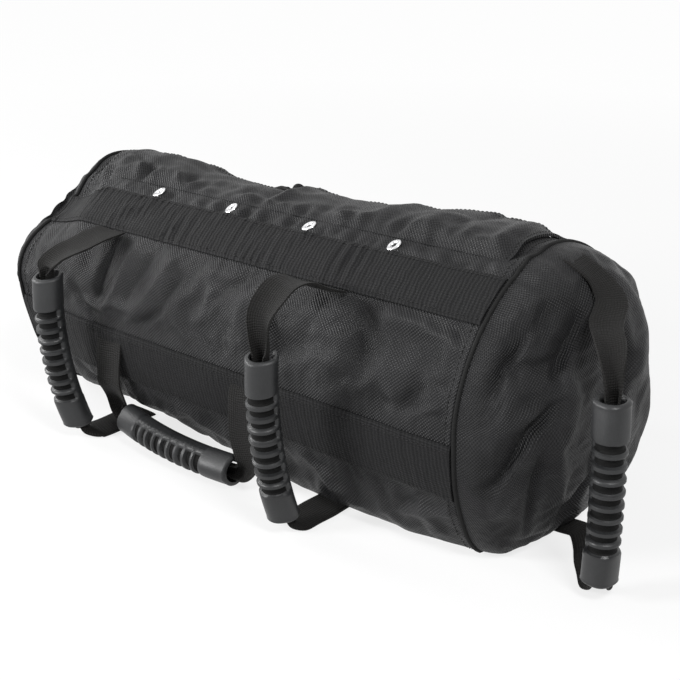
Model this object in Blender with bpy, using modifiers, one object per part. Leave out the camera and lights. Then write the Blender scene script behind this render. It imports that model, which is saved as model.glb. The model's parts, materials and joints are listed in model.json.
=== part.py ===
"""Sandbag trainer: a filled round duffel with webbing strips, a covered zip and eight loop handles.

Metres, +Z up. The bag's axis runs along X, its front faces -Y, and the origin is the middle of the
flat bottom that rests on the floor.
"""

import math

import bmesh
import bpy
from mathutils import Matrix, Vector

# Bag body
TUBE_LENGTH = 0.498  # from seam to seam
HALF_WIDTH = 0.119  # widest half width, front to back
CENTRE_HEIGHT = 0.117  # level of the widest place above the floor
TOP_RISE = 0.107  # from that level up to the top, at the middle
TOP_SLOPE = 0.03  # how the slack top climbs towards the full right end
FLOOR_SQUASH = 0.007  # how far the floor flattens the full lower half
END_PUFFS = {-1: 0.025, 1: 0.062}  # how far the left and right ends swell beyond their seams
PUFF_SHARES = (1.0, 0.93, 0.74, 0.38)  # rings of the swollen end, as shares of its section
RIM_LENGTH = 0.005  # straight start of an end panel beside its seam
WALL = 0.002  # shell fabric with its lining
GAP = 0.0003  # clearance between neighbouring pieces
MERGE_DISTANCE = 0.00001  # points closer than this are one point
UPPER_ROUNDNESS = 1.85  # exponents of the section's two halves; 2 is a circle
LOWER_ROUNDNESS = 2.5
SIDES = 36  # facets round the bag
LENGTHS = 4  # and along it

# Webbing
STRIP_WIDTH = 0.042
STRIP_THICKNESS = 0.0022
UPPER_STRIP_TURN = 52.0  # degrees up from the front, along the section
LOWER_STRIP_TURN = -13.0
STRAP_THICKNESS = 0.0025
STRAP_WIDTH = 0.034  # a strap's free arm, gathered a little
STRAP_END_RADIUS = 0.013  # round end that turns on its sewn root
FOLDED_WIDTH = 0.013  # the strap folded to pass through a grip
FOLDED_THICKNESS = 0.0045
STRAP_OVERRUN = 0.003  # how far it runs straight on beyond a grip's ends

# Piping in the end seams
PIPING_RADIUS = 0.0022

# Moulded grips
GRIP_LENGTH = 0.145
COLLAR_RADIUS = 0.0145
GRIP_RADIUS = 0.0139
GROOVE_DEPTH = 0.0019
BORE_RADIUS = 0.0097
SLIT_WIDTH = 0.006
GRIP_BOW = 0.008  # how far the grip arches outwards
COLLAR_LENGTH = 0.027
COLLAR_SHOULDER = 0.00225  # the short slope from a collar down to the grooved part
GROOVES = 8
GROOVED_HALF_TURN = 100.0  # degrees; the grooves leave the inner side smooth

# Standing handles on the front and back
BAND_SPACING = 0.252
BAND_SHIFT = -0.018
PIVOT_STANDOFF = 0.011  # from a strip's edge out to the round strap end
SIDE_REACH = (0.038, 0.060)  # from the swing axis to the grip's lower and upper end
NEAR_REACH = (0.027, 0.047)  # the same for the front left handle, which hangs closer
GRIP_CLEARANCE = 0.014  # height of a standing grip's lower end
ARCH_RISE = 0.007  # how far the front straps arch above their roots
ARCH_SHARES = ((0.0, 0.0), (0.35, 0.75), (0.73, 1.0), (0.96, 0.0))
DROOP_SHARES = ((0.0, 0.0), (0.35, -0.5), (0.73, -1.0), (0.96, 0.0))
FOOT_INSET = 0.002  # how far inside the grip the lower strap turns on to the floor
FOOT_LIFT = 0.0027  # and its rise there
FOOT_SHARES = (0.4, 0.72)
ROOT_DROP = 0.0075  # from a strip's edge down to the sewn root below it
ROOT_STEPS = (1.0, 3.0)  # places where a root leaves the strip, in its own thicknesses
OVER_GRIP_SHARE = 0.38  # how far the arm has come down where it turns into the grip

# End handles
END_REACH = 0.094
END_ROOT_SHARES = {-1: 0.5, 1: 1.0}  # how high on the end panels the upper roots are sewn
END_ARCH_SHARES = {
    -1: ((0.17, 0.0), (0.4, -0.7), (0.72, -1.2), (0.94, -0.6)),
    1: ((0.17, 0.0), (0.32, 0.13), (0.48, 0.27), (0.72, 0.37), (0.89, 0.49), (0.985, 0.74)),
}

# Lengthwise handles, lying in front of and behind the bag
LONG_ROOTS = (-0.121, 0.040)
LONG_STRAP_WIDTH = 0.026
LONG_GRIP_ENDS = ((-0.111, 0.013, -0.060), (0.028, 0.001, -0.061))
LONG_ROOT_DROP = 0.022
LONG_CURL = 0.012  # radius in which the strap bends up beyond the grip
LONG_CURL_TURNS = (30.0, 60.0, 90.0)
TAB_LENGTH = 0.030

# Top flap, its hook and loop, and the eyelets
FLAP_LENGTH = 0.47
FLAP_WIDTH = 0.092
FLAP_THICKNESS = 0.0025
FLAP_ROOT_LIFT = 0.00075
FLAP_LIFT = 0.0056
FLAP_RISE_SHARE = 0.25  # part of the flap's width over which it rises from the fabric
FASTENER_WIDTH = 0.018
FASTENER_THICKNESS = 0.0023
FASTENER_INSET = 0.002
EYELETS = 4
EYELET_SPACING = 0.088
EYELET_SHIFT = 0.003
EYELET_FLANGE = 0.0065
EYELET_BARREL = 0.0033
EYELET_HOLE = 0.0025
EYELET_PLATE = 0.0009
EYELET_MARGIN = 0.001
EYELET_SIDES = 12
PIERCING_DEPTH = 0.012  # of the holes cut for the eyelets
FLAP_MARGIN = 0.003  # room for the flap's edge to turn beside the eyelets

# Zip
ZIP_LENGTH = 0.37
MOUTH_WIDTH = 0.018
TAPE_WIDTH = 0.014
TAPE_THICKNESS = 0.0008
TAPE_DROP = 0.0046
TOOTH_PITCH = 0.011
TOOTH_REACH = 0.0022
TOOTH_SPINE = 0.0012
TOOTH_HEIGHT = 0.0026
SLIDER_LENGTH = 0.014
SLIDER_PLATE = 0.0014
SLIDER_FLANGE = 0.0012
BAIL_HEIGHT = 0.0032
BAIL_WALL = 0.0011
BAIL_LENGTH = 0.009
BAIL_WIDTH = 0.003
PULL_LENGTH = 0.026
PULL_WIDTH = 0.0095
PULL_THICKNESS = 0.0012
PULL_RIM = 0.0014
POST_HOLE = 0.0019
STOP_LENGTH = 0.005
STOP_WIDTH = 0.010

# Filling
FILLER_BAGS = 3
FILL_RISE_SHARE = 0.88
FILLER_END_SHARES = ((0.0, 0.5), (0.05, 0.86), (0.16, 1.0), (0.84, 1.0), (0.95, 0.86), (1.0, 0.5))

# Values that follow from the sizes above
SEAM = TUBE_LENGTH / 2
BOTTOM_DROP = CENTRE_HEIGHT + FLOOR_SQUASH
TUBE_END = SEAM - PIPING_RADIUS - GAP
STRIP_HALF_TURN = math.degrees(STRIP_WIDTH / 2 / HALF_WIDTH)
EYELET_TURN = UPPER_STRIP_TURN + STRIP_HALF_TURN + math.degrees((EYELET_FLANGE + EYELET_MARGIN) / HALF_WIDTH)
FLAP_TURN = EYELET_TURN + math.degrees((EYELET_FLANGE + FLAP_MARGIN) / HALF_WIDTH)
FLAP_END_TURN = FLAP_TURN + math.degrees(FLAP_WIDTH / HALF_WIDTH)
FASTENER_HALF_TURN = math.degrees(FASTENER_WIDTH / 2 / HALF_WIDTH)
FASTENER_END_TURN = FLAP_END_TURN - math.degrees(FASTENER_INSET / HALF_WIDTH)
FASTENER_TURNS = [FASTENER_END_TURN - FASTENER_HALF_TURN * k for k in (2, 1, 0)]
BAND_PLACES = {"left": BAND_SHIFT - BAND_SPACING / 2, "right": BAND_SHIFT + BAND_SPACING / 2}
FOOT_LEVEL = STRAP_THICKNESS * 1.5 + GAP
OUTER_SLIT_ANGLE = math.asin(SLIT_WIDTH / 2 / COLLAR_RADIUS)
BORE_SLIT_ANGLE = math.asin(SLIT_WIDTH / 2 / BORE_RADIUS)
HALF_FOLDED_WIDTH = (STRAP_WIDTH + FOLDED_WIDTH) / 2  # where an arm is half folded, beside its grip

# How each handle stands, in degrees about its swing axis
SIDE_SWINGS = {"front_left": -103.0, "front_right": -90.0, "back_left": 100.0, "back_right": 82.0}
END_SWINGS = {"right_end": -52.0, "left_end": 105.0}


def top_rise(x):
    """Height of the bag above its widest level."""
    return TOP_RISE + TOP_SLOPE * x


def section(x, turn):
    """Front-to-back and up-down offsets of the full round section from the bag's axis."""
    cosine = math.cos(math.radians(turn))
    sine = math.sin(math.radians(turn))
    roundness = UPPER_ROUNDNESS if sine >= 0 else LOWER_ROUNDNESS
    height = top_rise(x) if sine >= 0 else BOTTOM_DROP
    across = -math.copysign(abs(cosine) ** (2 / roundness), cosine) * HALF_WIDTH
    return across, math.copysign(abs(sine) ** (2 / roundness), sine) * height


def skin(x, turn, lift=0.0, shrink=1.0):
    """A point of the bag's surface, raised by lift, on a section shrunk towards the axis."""
    across, rise = section(x, turn)
    before = Vector(section(x, turn - 1.0))
    after = Vector(section(x, turn + 1.0))
    along = (after - before).normalized()
    outward = Vector((-along.y, along.x))
    if outward.dot(Vector((across, rise))) < 0:
        outward = -outward
    across = across * shrink + outward.x * lift
    rise = rise * shrink + outward.y * lift
    return Vector((x, across, max(CENTRE_HEIGHT + rise, -lift)))


def outward_at(x, turn):
    """The direction that faces out of the bag's surface."""
    step = HALF_WIDTH / SIDES
    along = skin(x + step, turn) - skin(x - step, turn)
    round_it = skin(x, turn + 1.0) - skin(x, turn - 1.0)
    return along.cross(round_it).normalized()


def half_width_at(height):
    """Half width of the bag's lower part at a height above the floor."""
    share = (CENTRE_HEIGHT - height) / BOTTOM_DROP
    return HALF_WIDTH * (1.0 - share ** LOWER_ROUNDNESS) ** (1 / LOWER_ROUNDNESS)


def material(name, colour, roughness, metallic=0.0):
    shader_material = bpy.data.materials.new(name)
    shader_material.use_nodes = True
    shader = shader_material.node_tree.nodes["Principled BSDF"]
    shader.inputs["Base Color"].default_value = (*colour, 1.0)
    shader.inputs["Roughness"].default_value = roughness
    shader.inputs["Metallic"].default_value = metallic
    return shader_material


def start():
    """Clears the scene and makes the two collections."""
    for old in list(bpy.data.objects):
        bpy.data.objects.remove(old)
    found = {}
    for name in ("sandbag_trainer", "cutters"):
        found[name] = bpy.data.collections.new(name)
        bpy.context.scene.collection.children.link(found[name])
    return found


COLLECTIONS = start()
FINISHES = {
    "shell_fabric": material("shell_fabric", (0.022, 0.022, 0.024), 0.8),
    "webbing": material("webbing", (0.014, 0.014, 0.015), 0.85),
    "piping": material("piping", (0.012, 0.012, 0.012), 0.6),
    "grip_rubber": material("grip_rubber", (0.09, 0.09, 0.095), 0.45),
    "eyelet_metal": material("eyelet_metal", (0.75, 0.75, 0.76), 0.25, 1.0),
    "zip_metal": material("zip_metal", (0.35, 0.35, 0.36), 0.35, 1.0),
    "zip_teeth": material("zip_teeth", (0.02, 0.02, 0.02), 0.4),
    "hook_and_loop": material("hook_and_loop", (0.01, 0.01, 0.01), 0.95),
    "filler_cloth": material("filler_cloth", (0.25, 0.24, 0.22), 0.8),
}


def add(name, mesh, finish, collection="sandbag_trainer"):
    """An object for a finished mesh, shaded smooth with its edges kept."""
    made = bpy.data.objects.new(name, mesh)
    COLLECTIONS[collection].objects.link(made)
    if not mesh.materials:
        mesh.materials.append(FINISHES[finish])
    mesh.shade_smooth()
    mesh.set_sharp_from_angle(angle=math.radians(35))
    return made


def loft(name, rings, caps=(True, True)):
    """A surface through rings of points, each joined to the next, with its first and last ring closed."""
    build = bmesh.new()
    made = [[build.verts.new(point) for point in ring] for ring in rings]
    for first, second in zip(made, made[1:]):
        for k in range(len(first)):
            after = (k + 1) % len(first)
            build.faces.new((first[k], first[after], second[after], second[k]))
    for capped, ring in zip(caps, (made[0][::-1], made[-1])):
        if capped:
            build.faces.new(ring)
    bmesh.ops.recalc_face_normals(build, faces=build.faces)
    mesh = bpy.data.meshes.new(name)
    build.to_mesh(mesh)
    build.free()
    return mesh


def sheet(name, places, turns, lift, thickness, finish):
    """A piece that lies on the bag: an open surface on the skin, thickened outwards."""
    build = bmesh.new()
    grid = [[build.verts.new(skin(x, turn, lift(turn))) for turn in turns] for x in places]
    for row, following in zip(grid, grid[1:]):
        for k in range(len(turns) - 1):
            build.faces.new((row[k], following[k], following[k + 1], row[k + 1]))
    mesh = bpy.data.meshes.new(name)
    build.to_mesh(mesh)
    build.free()
    made = add(name, mesh, finish)
    solid = made.modifiers.new("thickness", "SOLIDIFY")
    solid.thickness = thickness
    solid.offset = 1.0
    solid.use_even_offset = True
    return made


def spread(low, high, count):
    """Evenly spaced values with both ends."""
    return [low + (high - low) * k / (count - 1) for k in range(count)]


def smooth(stations, steps):
    """A smooth curve through the stations, which are lists of a place and what changes along with it."""
    spans = [math.sqrt((after[0] - before[0]).length) for before, after in zip(stations, stations[1:])]
    slopes = slopes_along(stations, spans)
    made = []
    for k, span in enumerate(spans):
        for step in range(steps):
            t = step / steps
            late = 3 * t ** 2 - 2 * t ** 3
            weights = (1.0 - late, late, (t - 2 * t ** 2 + t ** 3) * span, (t ** 3 - t ** 2) * span)
            parts = zip(stations[k], stations[k + 1], slopes[k], slopes[k + 1])
            made.append([sum((w * v for w, v in zip(weights, part)), part[0] * 0) for part in parts])
    made.append(list(stations[-1]))
    return made


def slopes_along(stations, spans):
    """How fast each part of the stations changes there, weighted so that short spans don't overshoot."""
    steady = []
    for first, second, span in zip(stations, stations[1:], spans):
        steady.append([(b - a) / span for a, b in zip(first, second)])
    made = [steady[0]]
    for k in range(1, len(spans)):
        before = spans[k] / (spans[k - 1] + spans[k])
        made.append([a * before + b * (1.0 - before) for a, b in zip(steady[k - 1], steady[k])])
    made.append(steady[-1])
    return made


def ribbon(name, stations):
    """A flat strap swept through stations of (centre, across, width, thickness)."""
    rings = []
    last = len(stations) - 1
    for k, (centre, across, width, thickness) in enumerate(stations):
        along = stations[min(k + 1, last)][0] - stations[max(k - 1, 0)][0]
        side = (across - along * (across.dot(along) / along.dot(along))).normalized()
        face = along.cross(side).normalized() * thickness / 2
        side = side * width / 2
        rings.append([centre - side - face, centre + side - face, centre + side + face, centre - side + face])
    return loft(name, rings)


def cut(target, cutter):
    """Takes a cutter's space out of a piece."""
    cutter.hide_render = True
    cutter.display_type = "WIRE"
    boolean = target.modifiers.new(cutter.name, "BOOLEAN")
    boolean.operation = "DIFFERENCE"
    boolean.solver = "EXACT"
    boolean.object = cutter


def box(name, low, high, finish, collection="sandbag_trainer"):
    """A block between two corners."""
    build = bmesh.new()
    bmesh.ops.create_cube(build, size=1.0)
    size = Vector(high) - Vector(low)
    middle = (Vector(high) + Vector(low)) / 2
    placed = Matrix.Translation(middle) @ Matrix.Diagonal((*size, 1.0))
    bmesh.ops.transform(build, matrix=placed, verts=build.verts)
    mesh = bpy.data.meshes.new(name)
    build.to_mesh(mesh)
    build.free()
    return add(name, mesh, finish, collection)


def flat_outline(name, outlines, thickness, finish, collection="sandbag_trainer"):
    """A plate cut to flat outlines; the second and later ones are holes in the first."""
    curve = bpy.data.curves.new(name, "CURVE")
    curve.dimensions = "2D"
    curve.fill_mode = "BOTH"
    curve.extrude = thickness / 2
    for outline in outlines:
        spline = curve.splines.new("POLY")
        spline.points.add(len(outline) - 1)
        for point, (along, up) in zip(spline.points, outline):
            point.co = (along, up, 0.0, 1.0)
        spline.use_cyclic_u = True
    drawn = bpy.data.objects.new(name + "_outline", curve)
    COLLECTIONS["cutters"].objects.link(drawn)
    bpy.context.view_layer.update()
    evaluated = drawn.evaluated_get(bpy.context.evaluated_depsgraph_get())
    mesh = bpy.data.meshes.new_from_object(evaluated)
    bpy.data.objects.remove(drawn)
    build = bmesh.new()
    build.from_mesh(mesh)
    bmesh.ops.remove_doubles(build, verts=build.verts, dist=MERGE_DISTANCE)
    bmesh.ops.recalc_face_normals(build, faces=build.faces)
    build.to_mesh(mesh)
    build.free()
    mesh.materials.clear()
    return add(name, mesh, finish, collection)


def shell():
    """The round tube of the bag, open along the zip and pierced for the eyelets."""
    places = spread(-TUBE_END, TUBE_END, LENGTHS + 1)
    turns = [360.0 * k / SIDES for k in range(SIDES)]
    mesh = loft("shell", [[skin(x, turn) for turn in turns] for x in places], caps=(False, False))
    made = add("shell", mesh, "shell_fabric")
    thicken_inwards(made)
    half = ZIP_LENGTH / 2
    low = (-half, -MOUTH_WIDTH / 2, CENTRE_HEIGHT)
    high = (half, MOUTH_WIDTH / 2, CENTRE_HEIGHT + top_rise(half) + WALL)
    cut(made, box("mouth_cutter", low, high, "shell_fabric", "cutters"))
    for k, x in enumerate(eyelet_places()):
        cutter = eyelet_cutter(f"eyelet_cutter_{k + 1}")
        place_on_skin(cutter, x, EYELET_TURN)
        cut(made, cutter)


def eyelet_cutter(name):
    build = bmesh.new()
    radius = EYELET_BARREL + GAP
    bmesh.ops.create_cone(
        build, segments=EYELET_SIDES, radius1=radius, radius2=radius, depth=PIERCING_DEPTH, cap_ends=True)
    mesh = bpy.data.meshes.new(name)
    build.to_mesh(mesh)
    build.free()
    return add(name, mesh, "shell_fabric", "cutters")


def thicken_inwards(piece):
    """Gives an open surface the fabric's thickness, on its inner side."""
    wall = piece.modifiers.new("wall", "SOLIDIFY")
    wall.thickness = WALL
    wall.offset = -1.0
    wall.use_even_offset = True


def place_on_skin(piece, x, turn, lift=0.0):
    """Stands a piece on the bag with its own Z facing out."""
    piece.location = skin(x, turn, lift)
    piece.rotation_euler = outward_at(x, turn).to_track_quat("Z", "Y").to_euler()


def eyelet_places():
    first = EYELET_SHIFT - EYELET_SPACING * (EYELETS - 1) / 2
    return [first + EYELET_SPACING * k for k in range(EYELETS)]


def end_panel(name, side):
    """A round end of the bag, swollen beyond its seam like a shallow dome."""
    rings = []
    rim_x = SEAM + PIPING_RADIUS + GAP
    stations = [(rim_x, 1.0)] + [(puffed_to(share, side), share) for share in PUFF_SHARES]
    for reach, share in stations:
        points = [skin(side * SEAM, 360.0 * k / SIDES, 0.0, share) for k in range(SIDES)]
        rings.append([Vector((side * reach, point.y, point.z)) for point in points])
    thicken_inwards(add(name, loft(name, rings, caps=(False, True)), "shell_fabric"))


def puffed_to(share, side):
    """How far out along X an end panel stands at a share of its section."""
    return SEAM + RIM_LENGTH + (END_PUFFS[side] - RIM_LENGTH) * math.sqrt(1.0 - share ** 2)


def piping(name, side):
    """The corded seam between the tube and a round end."""
    curve = bpy.data.curves.new(name, "CURVE")
    curve.dimensions = "3D"
    curve.bevel_depth = PIPING_RADIUS
    curve.bevel_resolution = 1
    spline = curve.splines.new("POLY")
    spline.points.add(SIDES - 1)
    for k, point in enumerate(spline.points):
        at = skin(side * SEAM, 360.0 * k / SIDES)
        point.co = (at.x, at.y, max(at.z, PIPING_RADIUS + GAP), 1.0)
    spline.use_cyclic_u = True
    drawn = bpy.data.objects.new(name, curve)
    COLLECTIONS["sandbag_trainer"].objects.link(drawn)
    curve.materials.append(FINISHES["piping"])
    return drawn


def strip(name, turn):
    """A long webbing strip sewn along the bag."""
    turns = spread(turn - STRIP_HALF_TURN, turn + STRIP_HALF_TURN, 5)
    places = spread(-TUBE_END, TUBE_END, LENGTHS + 1)
    sheet(name, places, turns, lambda at: GAP, STRIP_THICKNESS, "webbing")


def back(turn):
    """The same place on the back of the bag."""
    return 180.0 - turn


def flap_lift(turn):
    """The flap lies on the bag at its sewn edge and rides over the zip beyond it."""
    across = (turn - FLAP_TURN) / (FLAP_END_TURN - FLAP_TURN)
    share = min(max(across / FLAP_RISE_SHARE, 0.0), 1.0)
    return FLAP_ROOT_LIFT + (FLAP_LIFT - FLAP_ROOT_LIFT) * share


def flap():
    turns = spread(FLAP_TURN, FASTENER_TURNS[0], 6) + FASTENER_TURNS[1:] + [FLAP_END_TURN]
    places = spread(-FLAP_LENGTH / 2, FLAP_LENGTH / 2, LENGTHS + 1)
    return sheet("cover_flap", places, turns, flap_lift, FLAP_THICKNESS, "shell_fabric")


def fasteners():
    """Hook tape under the flap's free edge and the loop tape that it closes on."""
    places = spread(-ZIP_LENGTH / 2, ZIP_LENGTH / 2, LENGTHS + 1)
    hook_lift = FLAP_LIFT - GAP - FASTENER_THICKNESS
    for name, lift in (("loop_tape", GAP), ("hook_tape", hook_lift)):
        sheet(name, places, FASTENER_TURNS, lambda at, raised=lift: raised, FASTENER_THICKNESS, "hook_and_loop")


def eyelets():
    """Pressed metal eyelets in the strip of fabric below the flap."""
    inside = -WALL - GAP * 2
    profile = (
        (EYELET_FLANGE, GAP + EYELET_PLATE / 2),
        (EYELET_FLANGE, GAP),
        (EYELET_BARREL, GAP),
        (EYELET_BARREL, inside),
        (EYELET_FLANGE - EYELET_PLATE, inside),
        (EYELET_FLANGE - EYELET_PLATE, inside - EYELET_PLATE),
        (EYELET_HOLE, inside - EYELET_PLATE),
        (EYELET_HOLE, GAP + EYELET_PLATE / 2),
        ((EYELET_HOLE + EYELET_BARREL) / 2, GAP + EYELET_PLATE),
        ((EYELET_FLANGE + EYELET_BARREL) / 2, GAP + EYELET_PLATE),
    )
    build = bmesh.new()
    points = [build.verts.new((radius, 0.0, height)) for radius, height in profile]
    for first, second in zip(points, points[1:] + points[:1]):
        build.edges.new((first, second))
    mesh = bpy.data.meshes.new("eyelet")
    build.to_mesh(mesh)
    build.free()
    for k, x in enumerate(eyelet_places()):
        made = add(f"eyelet_{k + 1}", mesh, "eyelet_metal")
        turned = made.modifiers.new("turned", "SCREW")
        turned.steps = EYELET_SIDES
        turned.render_steps = EYELET_SIDES
        turned.use_merge_vertices = True
        turned.merge_threshold = MERGE_DISTANCE
        place_on_skin(made, x, EYELET_TURN)


def zip_fastening():
    """Two tapes with interlocking teeth, two stops, and a slider with its pull.

    All of it is drawn on a level line and then laid along the bag's sloping top.
    """
    line = bpy.data.objects.new("zip_line", None)
    COLLECTIONS["sandbag_trainer"].objects.link(line)
    line.location = (0.0, 0.0, CENTRE_HEIGHT + TOP_RISE - TAPE_DROP)
    line.rotation_euler = (0.0, -math.atan(TOP_SLOPE), 0.0)
    half = ZIP_LENGTH / 2 - GAP * 2
    spine = TOOTH_REACH / 2 + TOOTH_SPINE
    for name, side in (("front", -1), ("back", 1)):
        edges = sorted((side * (spine + GAP), side * (spine + GAP + TAPE_WIDTH)))
        low = (-half - STOP_LENGTH * 2, edges[0], -TAPE_THICKNESS)
        high = (half + STOP_LENGTH * 2, edges[1], 0.0)
        box(f"zip_tape_{name}", low, high, "webbing").parent = line
        teeth(f"zip_teeth_{name}", side, half - STOP_LENGTH - GAP * 2).parent = line
    for name, x in (("zip_end_stop", -half), ("zip_top_stop", half - STOP_LENGTH)):
        low = (x, -STOP_WIDTH / 2, GAP)
        box(name, low, (x + STOP_LENGTH, STOP_WIDTH / 2, TOOTH_HEIGHT), "zip_metal").parent = line
    slider(half - STOP_LENGTH - GAP - SLIDER_LENGTH / 2, spine, line)


def teeth(name, side, half):
    """One row of teeth on its spine, set half a pitch from the row it meshes with."""
    count = int(2 * half / TOOTH_PITCH)
    tooth = TOOTH_PITCH / 2 - GAP
    spine = side * (TOOTH_REACH / 2 + TOOTH_SPINE)
    root = side * (TOOTH_REACH / 2 + GAP)
    tip = -side * TOOTH_REACH / 2
    first = -count * TOOTH_PITCH / 2 + (TOOTH_PITCH / 2 if side > 0 else 0.0)
    outline = [(-half, spine), (-half, root)]
    for k in range(count):
        x = first + k * TOOTH_PITCH + GAP / 2
        outline += [(x, root), (x, tip), (x + tooth, tip), (x + tooth, root)]
    outline += [(half, root), (half, spine)]
    made = flat_outline(name, [outline], TOOTH_HEIGHT, "zip_teeth")
    made.location = (0.0, 0.0, TOOTH_HEIGHT / 2 - TAPE_THICKNESS)
    return made


def slider(x, spine, line):
    """A saddle that rides over the teeth, with a bail that holds the pull tab."""
    inner = spine + GAP * 2
    outer = inner + SLIDER_FLANGE
    roof = TOOTH_HEIGHT + GAP
    crest = roof + SLIDER_PLATE
    outline = [(-outer, GAP), (-inner, GAP), (-inner, roof), (inner, roof), (inner, GAP), (outer, GAP)]
    outline += [(outer, crest), (-outer, crest)]
    body = flat_outline("zip_slider", [outline], SLIDER_LENGTH, "zip_metal")
    body.parent = line
    body.matrix_local = Matrix.Translation((x, 0, 0)) @ Matrix(((0, 0, 1), (1, 0, 0), (0, 1, 0))).to_4x4()
    joined = body.modifiers.new("bail", "BOOLEAN")
    joined.operation = "UNION"
    joined.solver = "EXACT"
    joined.object = slider_bail(x, crest, line)
    post = x + (BAIL_LENGTH - BAIL_WALL) / 2
    pull_tab((post, 0.0, crest + GAP * 2 + PULL_THICKNESS / 2), line)


def slider_bail(x, crest, line):
    """The small bridge on the slider's back, sunk halfway into its plate."""
    reach = BAIL_LENGTH / 2
    sunk = crest - SLIDER_PLATE / 2
    top = crest + BAIL_HEIGHT
    arch = [(-reach, sunk), (reach, sunk), (reach, top), (-reach, top)]
    inside = reach - BAIL_WALL
    under = top - BAIL_WALL
    window = [(-inside, crest), (inside, crest), (inside, under), (-inside, under)]
    bail = flat_outline("slider_bail", [arch, window], BAIL_WIDTH, "zip_metal", "cutters")
    bail.parent = line
    bail.matrix_local = Matrix.Translation((x, 0, 0)) @ Matrix.Rotation(math.radians(90), 4, "X")
    bail.hide_render = True
    bail.display_type = "WIRE"
    return bail


def pull_tab(place, line):
    """The pull: a plate with a ring that turns on the bail's post."""
    ring = ring_points(POST_HOLE + PULL_RIM, 90.0, 270.0, 6)
    tab = [(PULL_LENGTH, -PULL_WIDTH / 2), (PULL_LENGTH, PULL_WIDTH / 2)]
    hole = ring_points(POST_HOLE, 0.0, 324.0, 9)
    pull = flat_outline("zip_pull", [ring + tab, hole], PULL_THICKNESS, "zip_metal")
    pull.parent = line
    pull.location = place


def ring_points(radius, start_turn, end_turn, count):
    """Points on part of a circle, from one angle in degrees to another."""
    turns = [math.radians(turn) for turn in spread(start_turn, end_turn, count + 1)]
    return [(radius * math.cos(turn), radius * math.sin(turn)) for turn in turns]


def filler_bags():
    """Sand filled inner bags that lie end to end inside the shell."""
    inset = WALL + GAP
    room = 2 * (TUBE_END - inset)
    length = room / FILLER_BAGS
    for k, name in enumerate(("left", "middle", "right")):
        start_x = -room / 2 + k * length
        rings = []
        for share, scale in FILLER_END_SHARES:
            x = start_x + GAP + share * (length - 2 * GAP)
            ring = []
            for j in range(SIDES):
                point = skin(x, 360.0 * j / SIDES, -inset)
                rise = point.z - CENTRE_HEIGHT
                rise = rise * scale * (FILL_RISE_SHARE if rise > 0 else 1.0)
                ring.append(Vector((x, point.y * scale, max(CENTRE_HEIGHT + rise, inset))))
            rings.append(ring)
        add(f"filler_bag_{name}", loft(f"filler_bag_{name}", rings), "filler_cloth")


def grip_mesh():
    """The moulded grip: a slit tube arched outwards, grooved across its outer side."""
    ends = GRIP_LENGTH / 2
    collar = ends - COLLAR_LENGTH
    grooved_to = collar - COLLAR_SHOULDER
    waves = spread(-grooved_to, grooved_to, 2 * GROOVES + 1)
    stations = [(-ends, COLLAR_RADIUS, 0.0), (-collar, COLLAR_RADIUS, 0.0)]
    stations += [(z, GRIP_RADIUS, GROOVE_DEPTH if k % 2 else 0.0) for k, z in enumerate(waves)]
    stations += [(collar, COLLAR_RADIUS, 0.0), (ends, COLLAR_RADIUS, 0.0)]
    outer_turns = spread(OUTER_SLIT_ANGLE - math.pi, math.pi - OUTER_SLIT_ANGLE, 9)
    bore_turns = spread(math.pi - BORE_SLIT_ANGLE, BORE_SLIT_ANGLE - math.pi, 5)
    rings = []
    for z, radius, groove in stations:
        centre = bow_at(z)
        ring = []
        for turn in outer_turns:
            grooved = abs(turn) < math.radians(GROOVED_HALF_TURN)
            reach = radius - (groove if grooved else 0.0)
            ring.append(Vector((centre + reach * math.cos(turn), reach * math.sin(turn), z)))
        for turn in bore_turns:
            ring.append(Vector((centre + BORE_RADIUS * math.cos(turn), BORE_RADIUS * math.sin(turn), z)))
        rings.append(ring)
    return loft("grip", rings)


def bow_at(z):
    """How far the grip's centre line stands out at a height along it."""
    return GRIP_BOW * (1.0 - (2 * z / GRIP_LENGTH) ** 2)


def through_grip(placed):
    """The strap's stations inside a grip, from its first end to its second."""
    across = (placed.to_3x3() @ Vector((0, 1, 0))).normalized()
    made = []
    ends = GRIP_LENGTH / 2
    for z in (-ends - STRAP_OVERRUN, *spread(-ends, ends, 5), ends + STRAP_OVERRUN):
        made.append([placed @ Vector((bow_at(z), 0, z)), across, FOLDED_WIDTH, FOLDED_THICKNESS])
    return made


def round_end(level):
    """The strap's round end, turning on the axis at local X = 0."""
    made = []
    for degrees in (12.0, 35.0, 60.0, 90.0):
        turn = math.radians(degrees)
        centre = Vector((-STRAP_END_RADIUS * math.cos(turn), 0, level))
        made.append([centre, Vector((0, 1, 0)), 2 * STRAP_END_RADIUS * math.sin(turn), STRAP_THICKNESS])
    return made


def arm_stations(points):
    """Strap stations for (reach, height, width) points of a handle's arm."""
    return [[Vector((reach, 0, z)), Vector((0, 1, 0)), width, STRAP_THICKNESS] for reach, z, width in points]


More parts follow.
